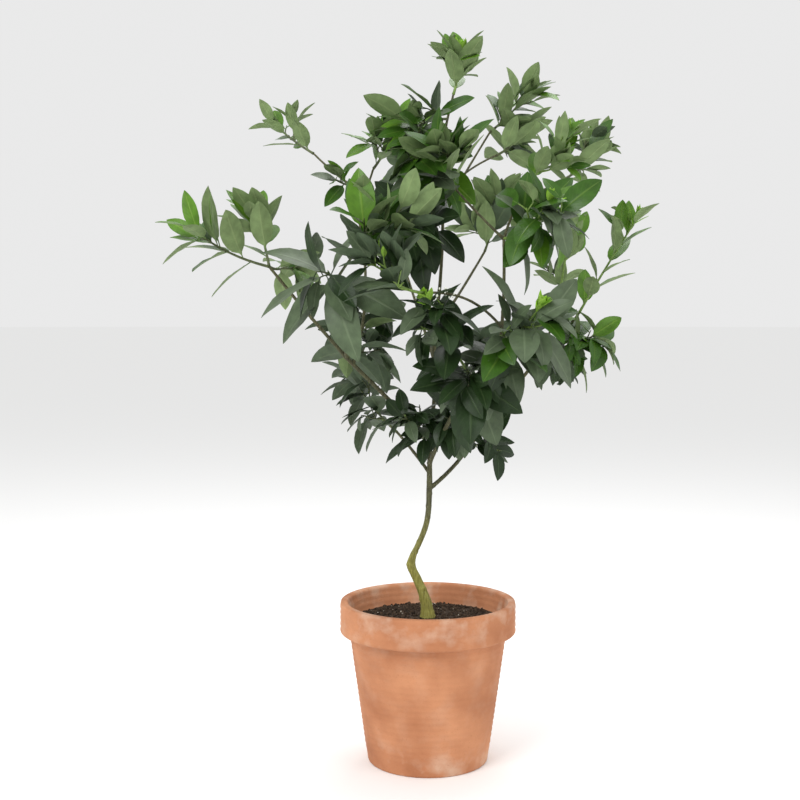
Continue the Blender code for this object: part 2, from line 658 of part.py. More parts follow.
def build_soil():
    """The filling: the gap clear of floor and wall, flat round the trunk and a little lower at the wall."""
    neck = POT_HEIGHT - POT_RIM_HEIGHT
    edge_height = SOIL_LEVEL - SOIL_DIP
    clear = 2 * GAP
    profile = (
        (0.0, POT_FLOOR + GAP),
        (inner_radius(0.0) - POT_EDGE - clear, POT_FLOOR + GAP),
        (inner_radius(0.0) - clear, POT_FLOOR + POT_EDGE + GAP),
        (inner_radius(neck) - clear, neck),
        (inner_radius(edge_height) - clear, edge_height),
        (inner_radius(edge_height) * 0.6, SOIL_LEVEL - SOIL_DIP / 4),
        (SOIL_FLAT_RADIUS, SOIL_LEVEL),
        (0.0, SOIL_LEVEL),
    )
    soil = new_object("soil", turned(profile, POT_SIDES), (0.09, 0.06, 0.04), 0.95)
    shade_round(soil)


def shade_round(obj):
    obj.data.shade_smooth()
    obj.data.set_sharp_from_angle(angle=math.radians(35))


def joined(name, stem_solid, twigs, leaves, colour):
    """One closed body: a union of the stem with a collection of its twigs and leaves."""
    mass = new_object(name, stem_solid, colour, 0.6)
    pieces = bpy.data.collections.new(f"{name}_pieces")
    bpy.context.scene.collection.children.link(pieces)
    solids = [twig.solid(0.0, TWIG_SIDES, TWIG_STEPS) for _, _, twig in twigs]
    solids += [leaf.solid() for leaf in leaves]
    for number, solid in enumerate(solids):
        piece = new_object(f"{name}_piece_{number}", solid, colour, 0.6)
        bpy.context.scene.collection.objects.unlink(piece)
        pieces.objects.link(piece)
    union = mass.modifiers.new("join", "BOOLEAN")
    union.operation = "UNION"
    union.operand_type = "COLLECTION"
    union.collection = pieces
    for solver, merge in (("EXACT", MERGE), ("EXACT", 0.0), ("MANIFOLD", MERGE), ("MANIFOLD", 0.0)):
        union.solver = solver
        graph = bpy.context.evaluated_depsgraph_get()
        whole = bpy.data.meshes.new_from_object(mass.evaluated_get(graph))
        if keep_largest_shell(whole, merge):
            break
    mass.modifiers.clear()
    mass.data = whole
    whole.name = name
    for piece in list(pieces.objects):
        bpy.data.objects.remove(piece)
    bpy.data.collections.remove(pieces)


def keep_largest_shell(mesh, merge):
    """Drops loose scraps and the inner skins of sealed hollows, and says whether the rest is closed."""
    form = bmesh.new()
    form.from_mesh(mesh)
    if merge:
        bmesh.ops.remove_doubles(form, verts=form.verts, dist=merge)
        bmesh.ops.dissolve_degenerate(form, edges=form.edges, dist=merge)
    bmesh.ops.triangulate(form, faces=form.faces)
    shells = []
    seen = set()
    for first in form.faces:
        if first in seen:
            continue
        shell, front = {first}, [first]
        while front:
            for edge in front.pop().edges:
                for face in edge.link_faces:
                    if face not in shell:
                        shell.add(face)
                        front.append(face)
        seen |= shell
        shells.append(shell)
    shells.sort(key=len)
    for shell in shells[:-1]:
        bmesh.ops.delete(form, geom=list(shell), context="FACES")
    closed = all(len(edge.link_faces) == 2 for edge in form.edges)
    form.to_mesh(mesh)
    form.free()
    return closed


def clear_scene():
    for obj in list(bpy.data.objects):
        bpy.data.objects.remove(obj)


def main():
    clear_scene()
    build_pot()
    build_soil()
    space = Space()
    limbs, limb_solids = grow_limbs(space)
    for name, solid in limb_solids.items():
        limb = new_object(name, solid, (0.24, 0.22, 0.10), 0.8)
        shade_round(limb)
    stems, stem_solids = grow_stems(limbs, space)
    twigs = {name: grow_twigs(name, stem, space) for name, stem in stems.items()}
    for name, stem in stems.items():
        leaves = grow_leaves(name, stem, twigs[name], space)
        joined(name, stem_solids[name], twigs[name], leaves, (0.10, 0.20, 0.05))


if __name__ == "__main__":
    main()
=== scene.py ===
# %% [markdown]
# # A young kumquat tree in a clay pot
# The tree's solids come from the frame: a pot, its soil, a leaning trunk, tapering boughs and leafy masses.
# This lesson gives them bark, shoots, leaves, clay and crumbs. Lengths are metres, +Z is up, and the viewer
# stands on the -Y side.

# %% Load the frame
import math
import random

import bpy
import numpy as np
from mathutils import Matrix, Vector
from mathutils.kdtree import KDTree


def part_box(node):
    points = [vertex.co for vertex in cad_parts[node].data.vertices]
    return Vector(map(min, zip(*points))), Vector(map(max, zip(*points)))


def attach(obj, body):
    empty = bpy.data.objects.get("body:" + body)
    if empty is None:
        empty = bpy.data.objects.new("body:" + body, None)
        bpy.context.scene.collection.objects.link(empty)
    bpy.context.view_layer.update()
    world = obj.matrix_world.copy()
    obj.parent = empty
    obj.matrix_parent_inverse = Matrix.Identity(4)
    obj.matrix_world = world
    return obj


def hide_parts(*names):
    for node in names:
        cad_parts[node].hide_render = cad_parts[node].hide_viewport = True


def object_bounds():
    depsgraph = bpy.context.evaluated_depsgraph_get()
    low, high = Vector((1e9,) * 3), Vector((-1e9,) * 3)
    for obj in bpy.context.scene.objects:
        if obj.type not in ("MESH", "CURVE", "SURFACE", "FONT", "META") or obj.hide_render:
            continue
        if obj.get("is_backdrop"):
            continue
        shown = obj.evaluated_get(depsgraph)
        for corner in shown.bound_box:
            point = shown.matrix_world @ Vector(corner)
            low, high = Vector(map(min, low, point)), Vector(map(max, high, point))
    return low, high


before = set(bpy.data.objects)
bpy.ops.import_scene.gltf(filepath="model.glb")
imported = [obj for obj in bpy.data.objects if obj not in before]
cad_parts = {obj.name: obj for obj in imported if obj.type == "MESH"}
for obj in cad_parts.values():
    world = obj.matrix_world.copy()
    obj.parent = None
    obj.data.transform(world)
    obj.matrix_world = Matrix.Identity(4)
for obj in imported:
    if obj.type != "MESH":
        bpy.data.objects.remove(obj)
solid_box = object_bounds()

print("solids", len(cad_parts), "height", round(solid_box[1].z, 3))

# %% [markdown]
# The camera stands level with the middle of the crown and looks a little down. A longer lens further away
# would flatten the tree; this one keeps the near whorls larger than the far twigs, as the eye sees them.

# %% Camera
EYE = (-0.040, -1.80, 0.64)
LOOK_DOWN = math.radians(3.9)
LENS_MM = 57.24


def link(obj):
    bpy.context.scene.collection.objects.link(obj)
    return obj


camera = link(bpy.data.objects.new("camera", bpy.data.cameras.new("camera")))
camera.data.lens = LENS_MM
camera.location = EYE
camera.rotation_euler = (math.radians(90) - LOOK_DOWN, 0.0, 0.0)
bpy.context.scene.camera = camera

# %% [markdown]
# A studio light for plants is broad and soft, so that glossy leaves show long pale sheens and not hot dots.
# One large lamp stands in front on the left, a weaker one fills the right side, one lights the crown from
# above and behind, and the whole room adds a pale glow. The Standard view keeps the greens as saturated as
# they are mixed, where a filmic view would grey them.

# %% Lamps and room light
ROOM_LIGHT = 0.82


def lamp(name, place, aim, size, watts):
    """A square lamp at a place, turned so that it shines on the aim."""
    made = link(bpy.data.objects.new(name, bpy.data.lights.new(name, "AREA")))
    made.data.size = size
    made.data.energy = watts
    made.location = place
    made.rotation_euler = (Vector(aim) - Vector(place)).to_track_quat("-Z", "Y").to_euler()
    made.visible_camera = False


CROWN_MIDDLE = (0.0, 0.0, 0.65)
lamp("key_lamp", (-1.3, -1.7, 2.1), CROWN_MIDDLE, 1.2, 36)
lamp("fill_lamp", (1.8, -1.3, 1.2), CROWN_MIDDLE, 1.4, 9)
lamp("top_lamp", (0.3, 0.9, 2.6), CROWN_MIDDLE, 1.4, 26)
room = bpy.data.worlds.new("room")
room.use_nodes = True
room.node_tree.nodes["Background"].inputs["Color"].default_value = (1.0, 1.0, 1.0, 1.0)
room.node_tree.nodes["Background"].inputs["Strength"].default_value = ROOM_LIGHT
bpy.context.scene.world = room
bpy.context.scene.view_settings.view_transform = "Standard"

# %% [markdown]
# Every piece below is a skin of rings: a row of rings makes a tube, a leaf or a turned pot. The same few
# helpers therefore serve them all. They list the faces between neighbouring rings and across the ends for
# whole arrays at once, put points and faces into a mesh and hide the solids that the piece replaces.

# %% Helpers for skins of rings


def ring_faces(rows, sides, copies=1):
    """The four-sided faces between rows of rings, closed round each ring, for a number of equal skins."""
    row, column = np.meshgrid(np.arange(rows - 1), np.arange(sides), indexing="ij")
    near = row * sides + column
    near_next = row * sides + (column + 1) % sides
    quads = np.stack([near, near_next, near_next + sides, near + sides], axis=-1).reshape(-1, 4)
    starts = np.arange(copies) * rows * sides
    return (starts[:, None, None] + quads).reshape(-1, 4)


def cap_faces(rows, sides, copies=1):
    """One flat face across the first ring of each skin and one across its last ring."""
    starts = (np.arange(copies) * rows * sides)[:, None]
    first = starts + np.arange(sides)[::-1]
    last = starts + (rows - 1) * sides + np.arange(sides)
    return np.concatenate([first, last])


def skin_faces(rows, sides, copies=1, start=0):
    """All the faces of closed skins whose points are counted from a start."""
    quads = ring_faces(rows, sides, copies) + start
    caps = cap_faces(rows, sides, copies) + start
    return quads.tolist() + caps.tolist()


def make_piece(name, points, faces, finishes, nodes=()):
    """A smooth mesh from points and faces, riding on the root body; the named solids are hidden."""
    mesh = bpy.data.meshes.new(name)
    mesh.from_pydata(np.asarray(points).reshape(-1, 3).tolist(), [], faces)
    for finish in finishes:
        mesh.materials.append(finish)
    mesh.polygons.foreach_set("use_smooth", np.ones(len(mesh.polygons), bool))
    mesh.update()
    piece = link(bpy.data.objects.new(name, mesh))
    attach(piece, "root")
    if nodes:
        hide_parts(*nodes)
    print(name, len(mesh.vertices), "points", len(mesh.polygons), "faces")
    return piece


# %% [markdown]
# A finish is a tree of nodes that ends in one shader. Most of them start from the place on the object,
# break it up with noise, and use the result twice: for the colour and for a fine relief. A short helper
# that makes a node, sets its values and joins its sockets keeps each finish readable.

# %% Helpers for finishes


def add(tree, kind, inputs=None, **settings):
    """A shader node: a socket among the inputs is joined to it, a plain value is set on it."""
    made = tree.nodes.new("ShaderNode" + kind)
    for key, value in settings.items():
        setattr(made, key, value)
    for key, value in (inputs or {}).items():
        if isinstance(value, bpy.types.NodeSocket):
            tree.links.new(value, made.inputs[key])
        else:
            made.inputs[key].default_value = value
    return made


def new_finish(name, roughness, gloss=0.5, coat=0.0, coat_roughness=0.3):
    """A new material with its tree and its shader; the plain numbers sit on the shader's own sockets."""
    finish = bpy.data.materials.new(name)
    finish.use_nodes = True
    shader = finish.node_tree.nodes["Principled BSDF"]
    shader.inputs["Roughness"].default_value = roughness
    shader.inputs["Specular IOR Level"].default_value = gloss
    shader.inputs["Coat Weight"].default_value = coat
    shader.inputs["Coat Roughness"].default_value = coat_roughness
    return finish, finish.node_tree, shader


def place_on_object(tree, scale=(1.0, 1.0, 1.0)):
    """The point on the object, stretched by a scale for each axis."""
    where = add(tree, "TexCoord").outputs["Object"]
    return add(tree, "Mapping", {"Vector": where, "Scale": scale}).outputs["Vector"]


def noise(tree, where, scale, detail=3.0):
    return add(tree, "TexNoise", {"Vector": where, "Scale": scale, "Detail": detail}).outputs[0]


def maths(tree, operation, first, second=0.0, third=0.0):
    made = add(tree, "Math", {0: first, 1: second, 2: third}, operation=operation)
    return made.outputs[0]


def fade(tree, value, start, end):
    """Nought below start, one above end, and an even slope between; it falls where end is below start."""
    spans = {"Value": value, "From Min": start, "From Max": end, "To Min": 0.0, "To Max": 1.0}
    return add(tree, "MapRange", spans).outputs[0]


def mixed(tree, share, first, second):
    """A colour between two, each a socket or three numbers."""
    made = add(tree, "Mix", {0: share}, data_type="RGBA")
    for at, colour in ((6, first), (7, second)):
        if isinstance(colour, bpy.types.NodeSocket):
            tree.links.new(colour, made.inputs[at])
        else:
            made.inputs[at].default_value = (*colour, 1.0)
    return made.outputs[2]


def relief(tree, shader, height, depth, before=None):
    """Raises the surface by a height from nought to one times a depth in metres."""
    inputs = {"Height": height, "Distance": depth, "Strength": 1.0}
    if before is not None:
        inputs["Normal"] = before
    made = add(tree, "Bump", inputs).outputs["Normal"]
    tree.links.new(made, shader.inputs["Normal"])
    return made


# %% [markdown]
# The pot stands on a pale floor so wide that its edge melts into the pale room from every side. It is one
# flat round face, and isn't part of the tree.

# %% Floor
FLOOR_RADIUS = 60.0
FLOOR_SIDES = 128
FLOOR_WHITE = (0.96, 0.96, 0.955, 1.0)

turns = np.arange(FLOOR_SIDES) * (2 * math.pi / FLOOR_SIDES)
edge = FLOOR_RADIUS * np.stack([np.cos(turns), np.sin(turns), np.zeros(FLOOR_SIDES)], axis=1)
floor_mesh = bpy.data.meshes.new("floor")
floor_mesh.from_pydata(edge.tolist(), [], [list(range(FLOOR_SIDES))])
floor = link(bpy.data.objects.new("floor", floor_mesh))
paper, _, paper_shader = new_finish("pale_floor", 0.95, gloss=0.0)
paper_shader.inputs["Base Color"].default_value = FLOOR_WHITE
floor_mesh.materials.append(paper)
floor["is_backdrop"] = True

# %% [markdown]
# The pot is a plain flower pot of fired clay. It is thrown on a wheel, so its shape is one profile turned
# about the axis: foot, leaning wall, thick rim, inside wall and floor. The corners of the profile are
# rounded, and faint throwing rings run round the wall. Three holes through the floor drain it.

# %% Pot profile
POT_HEIGHT = 0.230
POT_FOOT_RADIUS = 0.086
POT_NECK_RADIUS = 0.112
POT_RIM_RADIUS = 0.125
POT_RIM_HEIGHT = 0.044
POT_WALL = 0.010
POT_FLOOR = 0.012
POT_ROUNDING = 0.0028
SOIL_LEVEL = 0.205
DRAIN_RADIUS = 0.006
DRAIN_CIRCLE = 0.045
DRAIN_COUNT = 3
POT_SIDES = 180
NECK_HEIGHT = POT_HEIGHT - POT_RIM_HEIGHT


def inner_radius(height):
    """The inside wall: a straight taper up to the neck, and a wider one inside the rim."""
    radii = (POT_FOOT_RADIUS - POT_WALL, POT_NECK_RADIUS - POT_WALL, POT_RIM_RADIUS - POT_WALL)
    return np.interp(height, (POT_FLOOR, NECK_HEIGHT, POT_HEIGHT), radii)


def rounded(corners, radius, steps=5):
    """The outline through corners, each one replaced by a curve that starts and ends a radius away from it.

    The curve is (1 - t)^2 start + 2 t (1 - t) corner + t^2 end."""
    corners = np.array(corners)
    before = corners[1:-1] - corners[:-2]
    after = corners[2:] - corners[1:-1]
    start = corners[1:-1] - before / np.linalg.norm(before, axis=1, keepdims=True) * radius
    end = corners[1:-1] + after / np.linalg.norm(after, axis=1, keepdims=True) * radius
    t = np.linspace(0.0, 1.0, steps)[None, :, None]
    curve = (1 - t) ** 2 * start[:, None] + 2 * t * (1 - t) * corners[1:-1, None] + t * t * end[:, None]
    return np.concatenate([corners[:1], curve.reshape(-1, 2), corners[-1:]])


def finely_divided(profile, step):
    """The same outline with points no further apart than a step."""
    lengths = np.r_[0.0, np.cumsum(np.linalg.norm(np.diff(profile, axis=0), axis=1))]
    even = np.arange(0.0, lengths[-1], step)
    places = np.unique(np.concatenate([lengths, even]))
    return np.stack([np.interp(places, lengths, profile[:, axis]) for axis in (0, 1)], axis=1)


HUB = 0.030
PROFILE_STEP = 0.0025
pot_corners = (
    (HUB, 0.0),
    (POT_FOOT_RADIUS, 0.0),
    (POT_NECK_RADIUS, NECK_HEIGHT),
    (POT_RIM_RADIUS, NECK_HEIGHT),
    (POT_RIM_RADIUS, POT_HEIGHT),
    (POT_RIM_RADIUS - POT_WALL, POT_HEIGHT),
    (POT_NECK_RADIUS - POT_WALL, NECK_HEIGHT),
    (POT_FOOT_RADIUS - POT_WALL, POT_FLOOR),
    (HUB, POT_FLOOR),
)
pot_profile = finely_divided(rounded(pot_corners, POT_ROUNDING), PROFILE_STEP)
print("pot profile", len(pot_profile), "points")

# %% [markdown]
# A thrown pot is never quite round or smooth. A modifier could spin the profile, but an array of radii lets
# faint throwing rings and a slightly oval wall be added to it by one formula.

# %% Pot skin
RING_SPACING = 0.0085
RING_DEPTH = 0.00035
LOPSIDED = 0.0004


def turned(profile, sides, depth, spacing, lopsided):
    """A profile of radius and height turned about Z.

    The radius gains depth * sin(2 pi height / spacing + a slow wave round the pot), which leaves throwing
    rings, and lopsided * sin(2 turn), which makes it a little out of round."""
    turn = np.arange(sides) * (2 * math.pi / sides)
    radius, height = profile[:, :1], profile[:, 1:]
    on_wall = np.clip((height - POT_FLOOR) / POT_FLOOR, 0.0, 1.0)
    wave = depth * np.sin(2 * math.pi * height / spacing + 1.5 * np.sin(turn))
    spread = radius + on_wall * (wave + lopsided * np.sin(2 * turn + 0.7))
    level = np.broadcast_to(height, spread.shape)
    return np.stack([spread * np.cos(turn), spread * np.sin(turn), level], axis=-1)


pot_skin = turned(pot_profile, POT_SIDES, RING_DEPTH, RING_SPACING, LOPSIDED)
pot_faces = skin_faces(len(pot_profile), POT_SIDES)

# %% [markdown]
# Fired clay is orange brown with paler and darker clouds, and a chalky bloom where water has dried at the
# rim and the foot. Its surface is matt, with a grain of fine sand.

# %% Clay finish
CLAY_DARK = (0.42, 0.165, 0.075)
CLAY_LIGHT = (0.60, 0.27, 0.135)
CLAY_BLOOM = (0.68, 0.50, 0.38)

clay, tree, shader = new_finish("fired_clay", 0.82, gloss=0.35)
where = place_on_object(tree)
clouds = fade(tree, noise(tree, where, 14.0, 5.0), 0.35, 0.68)
colour = mixed(tree, clouds, CLAY_DARK, CLAY_LIGHT)
height = add(tree, "SeparateXYZ", {"Vector": where}).outputs[2]
near_rim = fade(tree, height, NECK_HEIGHT - 0.02, POT_HEIGHT)
near_foot = fade(tree, height, 0.05, 0.0)
ends = maths(tree, "MAXIMUM", near_rim, near_foot)
patches = fade(tree, noise(tree, where, 32.0, 6.0), 0.48, 0.72)
bloom = maths(tree, "MULTIPLY", maths(tree, "MULTIPLY_ADD", ends, 0.55, 0.12), patches)
specks = fade(tree, noise(tree, where, 420.0, 2.0), 0.62, 0.70)
colour = mixed(tree, bloom, colour, CLAY_BLOOM)
colour = mixed(tree, maths(tree, "MULTIPLY", specks, 0.35), colour, CLAY_DARK)
tree.links.new(colour, shader.inputs["Base Color"])
sand = relief(tree, shader, noise(tree, where, 650.0, 4.0), 0.00035)
relief(tree, shader, noise(tree, where, 60.0, 4.0), 0.0009, sand)

pot = make_piece("clay_pot", pot_skin, pot_faces, [clay], ["pot"])

# %% [markdown]
# Water leaves a pot through holes in its floor. They could be modelled ring by ring; drilling them with
# three cylinders is simpler and leaves the turned skin as it is elsewhere.

# %% Drain holes
DRILL_SIDES = 32

for number in range(DRAIN_COUNT):
    turn = 2 * math.pi * number / DRAIN_COUNT + math.pi / 2
    bpy.ops.mesh.primitive_cylinder_add(vertices=DRILL_SIDES, radius=DRAIN_RADIUS, depth=4 * POT_FLOOR)
    drill = bpy.context.object
    drill.location = (DRAIN_CIRCLE * math.cos(turn), DRAIN_CIRCLE * math.sin(turn), 0.0)
    cut = pot.modifiers.new("drain", "BOOLEAN")
    cut.operation = "DIFFERENCE"
    cut.object = drill
    drilled = bpy.data.meshes.new_from_object(pot.evaluated_get(bpy.context.evaluated_depsgraph_get()))
    pot.modifiers.clear()
    pot.data = drilled
    bpy.data.objects.remove(drill)
print("pot with", DRAIN_COUNT, "holes", len(pot.data.polygons), "faces")

# %% [markdown]
# Potting soil is a dark, damp crumb: peat, composted bark and a few pale grains. Its top is a disc with a
# soft relief, a little lower at the wall where water is poured. Many loose crumbs lie on it, all made from
# one small ball whose corners are moved by chance.

# %% Soil finish
SOIL_DARK = (0.020, 0.013, 0.008)
SOIL_LIGHT = (0.085, 0.055, 0.034)
GRAIN_DARK = (0.42, 0.36, 0.28)
GRAIN_LIGHT = (0.62, 0.57, 0.48)

soil_finish, tree, shader = new_finish("damp_soil", 0.95, gloss=0.25)
where = place_on_object(tree)
damp = fade(tree, noise(tree, where, 180.0, 5.0), 0.35, 0.68)
colour = mixed(tree, damp, SOIL_DARK, SOIL_LIGHT)
tree.links.new(colour, shader.inputs["Base Color"])
relief(tree, shader, noise(tree, where, 420.0, 6.0), 0.0012)

pale_grain, tree, shader = new_finish("pale_grain", 0.9, gloss=0.3)
where = place_on_object(tree)
colour = mixed(tree, noise(tree, where, 300.0, 3.0), GRAIN_DARK, GRAIN_LIGHT)
tree.links.new(colour, shader.inputs["Base Color"])
relief(tree, shader, noise(tree, where, 900.0, 3.0), 0.0004)

# %% [markdown]
# The top of the soil is a skin of rings like the pot, from the wall inwards. Its relief is real height, so
# that low light catches it, and it stays nearly level round the trunk.

# %% Soil surface
SOIL_DIP = 0.004
SOIL_FLAT_RADIUS = 0.016
SOIL_RINGS = 70
SOIL_SIDES = 160
SOIL_DEPTH = 0.030
SOIL_GAP = 0.0006
SOIL_RELIEF = 0.0022
SOIL_WAVES = 9
LONGEST_WAVE = 0.022
SOIL_SEED = 5


def soil_height(radius):
    """Flat round the trunk, then sinking a little to the wall."""
    wall = inner_radius(SOIL_LEVEL)
    levels = (SOIL_LEVEL, SOIL_LEVEL - SOIL_DIP / 4, SOIL_LEVEL - SOIL_DIP)
    return np.interp(radius, (SOIL_FLAT_RADIUS, wall * 0.6, wall), levels)


def soil_top(x, y, radius):
    """The soil's height with a gentle relief, the mean of sine waves that get shorter and lower."""
    chance = np.random.default_rng(SOIL_SEED)
    total = np.zeros(np.broadcast(x, y).shape)
    for number in range(SOIL_WAVES):
        angle, phase = chance.uniform(0, 2 * math.pi, 2)
        length = LONGEST_WAVE / (1 + number * 0.45)
        across = (x * math.cos(angle) + y * math.sin(angle)) / length
        total = total + np.sin(2 * math.pi * across + phase) / (1 + number * 0.3)
    return soil_height(radius) + SOIL_RELIEF * (total / SOIL_WAVES)


soil_edge = inner_radius(SOIL_LEVEL) - SOIL_GAP
radius = np.linspace(0.004, soil_edge, SOIL_RINGS)[::-1, None]
turn = np.arange(SOIL_SIDES)[None] * (2 * math.pi / SOIL_SIDES)
x, y = radius * np.cos(turn), radius * np.sin(turn)
top = np.stack([x, y, soil_top(x, y, radius)], axis=-1)
wall = top[:1] * (1.0, 1.0, 0.0) + (0.0, 0.0, SOIL_LEVEL - SOIL_DEPTH)
wall[..., :2] *= inner_radius(SOIL_LEVEL - SOIL_DEPTH) / inner_radius(SOIL_LEVEL)
soil_skin = np.concatenate([wall, top])
soil_faces = skin_faces(SOIL_RINGS + 1, SOIL_SIDES)
make_piece("soil_surface", soil_skin, soil_faces, [soil_finish], ["soil"])

# %% [markdown]
# Loose crumbs could be scattered by particles. A sunflower spiral spreads them evenly with less machinery:
# each lies a golden turn on from the last one, and chance moves it a little.

# %% Soil crumbs
CRUMB_FREE = 0.0105
CRUMB_MARGIN = 0.005
CRUMB_ROWS = 4
CRUMB_SIDES = 6
GOLDEN_TURN = math.radians(137.5)


def ball(rows, sides):
    """A small ball about the origin: rings of radius sin(angle) at height cos(angle), without its poles."""
    angle = np.linspace(0.85 * math.pi, 0.15 * math.pi, rows)[:, None]
    turn = np.arange(sides)[None] * (2 * math.pi / sides)
    spoke = np.sin(angle)
    return np.stack([spoke * np.cos(turn), spoke * np.sin(turn), np.cos(angle) + 0 * turn], axis=-1)


def scatter_crumbs(name, count, smallest, largest, finish, seed):
    """Crumbs on a sunflower spiral: the radius grows with the root of n, and each lies a golden turn on."""
    chance = np.random.default_rng(seed)
    number = np.arange(count) + chance.uniform(0, 1, count)
    radius = CRUMB_FREE + (soil_edge - CRUMB_FREE - CRUMB_MARGIN) * np.sqrt(number / count)
    turn = number * GOLDEN_TURN + chance.uniform(-0.4, 0.4, count)
    size = chance.uniform(smallest, largest, count)
    x, y = radius * np.cos(turn), radius * np.sin(turn)
    z = soil_top(x, y, radius) + size * 0.25
    ball_points = ball(CRUMB_ROWS, CRUMB_SIDES)[None]
    lumps = ball_points * chance.uniform(0.65, 1.25, (count, CRUMB_ROWS, CRUMB_SIDES, 1))
    lumps = lumps * size[:, None, None, None] * chance.uniform(0.6, 1.1, (count, 1, 1, 3))
    points = lumps + np.stack([x, y, z], axis=1)[:, None, None]
    make_piece(name, points, skin_faces(CRUMB_ROWS, CRUMB_SIDES, count), [finish])


scatter_crumbs("soil_crumbs", 1500, 0.0008, 0.0032, soil_finish, 11)
scatter_crumbs("pale_grains", 90, 0.0007, 0.0017, pale_grain, 12)

# %% [markdown]
# The crown grows by the rule that its solids were made with, written again here. A shoot is a bowed line,
# the trunk is a smooth line through named bends, and leaves stand round a shoot at the golden angle, each
# with its own small strayings drawn from a seeded chance.

# %% Sizes of the growth
TWIG_SIDES = 3
STEM_RADII = (0.0019, 0.0011)
TWIG_RADII = (0.0014, 0.0010)
TWIG_BARE = 0.28
TWIG_OPENING = math.radians(48)
TWIG_TURN_STEP = math.radians(50)
LEAF_TURN_STEP = math.radians(35)
TRIES = 6
UP = np.array([0.0, 0.0, 1.0])
FLUSH_LENGTH = 0.026
FLUSH_WIDTH_SHARE = 0.30
FLUSH_OPENING = (math.radians(12), math.radians(44))
FLUSH_BEND = math.radians(8)
FLUSH_FOOT = 0.05
TURN_SPREAD = 0.35
OPENING_SPREAD = 0.16
LIFT_SPREAD = 0.10
ROLL_SPREAD = 0.5
LENGTH_RANGE = (0.82, 1.12)
FLUSH_RANGE = (0.75, 1.20)
WIDTH_RANGE = (0.90, 1.12)
BEND_RANGE = (0.6, 1.3)
TIP_PULL = 0.5
SPREAD_PULL = 0.6

# %% The trunk's bends, the boughs and the stems of the masses
# Height above the soil, sideways, backwards and radius, in millimetres
TRUNK_BENDS = (
    (0, 0, 0, 10.5),
    (7, -1, 0, 9.0),
    (22, -3, 0, 8.4),
    (38, -8, 0, 7.5),
    (57, -16, 0, 6.8),
    (77, -24, 0, 6.3),
    (90, -21, 0, 5.2),
    (105, -14, 0, 4.6),
    (130, -4, 0, 4.1),
    (188, 2, 0, 4.1),
    (217, 2, 0, 3.7),
    (263, 4, 0, 3.1),
    (321, 9, 2, 2.8),
    (402, 9, 6, 2.6),
    (482, 17, 4, 2.4),
    (567, 20, 0, 2.2),
    (645, 18, -2, 2.0),
    (699, 25, -6, 1.8),
    (738, 34, -8, 1.5),
)

# Carrier, place on it, tip, bow, base radius and tip radius, in millimetres
BOUGHS = {
    "bough_low_left": ("trunk", 208, (-44, 55, 261), (0, -3, 2), 2.4, 1.9),
    "bough_left_lower": ("trunk", 254, (-114, -30, 373), (-3, -3, 3), 3.1, 2.7),
    "bough_left_outer": ("bough_left_lower", 1.0, (-217, -70, 498), (0, 0, -2), 2.6, 1.9),
    "bough_front_left": ("bough_left_lower", 1.0, (-123, -120, 479), (0, -8, -3), 2.5, 1.9),
    "bough_upper_left": ("bough_left_lower", 0.92, (-113, 65, 622), (20, 6, -6), 2.4, 1.7),
    "bough_upper_left_outer": ("bough_upper_left", 1.0, (-168, 105, 671), (1, 0, -3), 1.7, 1.4),
    "bough_upper_left_inner": ("bough_upper_left", 0.86, (-78, 35, 641), (3, 0, 5), 1.6, 1.4),
    "bough_front_right": ("trunk", 222, (55, -130, 349), (-6, -10, -6), 3.0, 2.5),
    "bough_front_right_mid": ("bough_front_right", 1.0, (89, -150, 386), (0, -3, -1), 2.5, 2.3),
    "bough_front_right_upper": ("bough_front_right_mid", 1.0, (97, -110, 533), (2, -5, -7), 2.3, 1.9),
    "bough_crossing": ("bough_front_right_upper", 1.0, (33, -92, 601), (0, -2, -2), 1.8, 1.4),
    "bough_right_top": ("bough_front_right_upper", 1.0, (132, -75, 608), (-4, -2, -3), 1.8, 1.4),
    "bough_right_shoulder": ("bough_right_top", 0.55, (184, -25, 618), (-4, -3, 1), 1.6, 1.4),
    "bough_front_spray": ("bough_front_right_upper", 0.24, (-10, -215, 460), (4, -12, 14), 1.8, 1.5),
    "bough_right_lower": ("trunk", 186, (58, 35, 239), (1, -3, -3), 3.0, 2.6),
    "bough_right_mid": ("bough_right_lower", 1.0, (173, 80, 380), (-2, 3, -2), 2.6, 2.3),
    "bough_right_outer": ("bough_right_mid", 1.0, (221, 60, 435), (1, 2, -3), 2.1, 1.9),
    "bough_right_upright": ("bough_right_mid", 1.0, (201, 120, 471), (0, 0, -4), 1.8, 1.5),
    "bough_top_right": ("trunk", 573, (93, 100, 702), (-4, 5, -4), 1.8, 1.4),
    "bough_top_right_inner": ("trunk", 601, (100, 60, 663), (-3, -7, 4), 1.5, 1.3),
    "bough_back_left": ("trunk", 367, (-35, 160, 511), (2, 8, -6), 2.3, 1.7),
    "bough_back_right": ("trunk", 413, (90, 160, 530), (0, 7, -4), 2.2, 1.7),
}

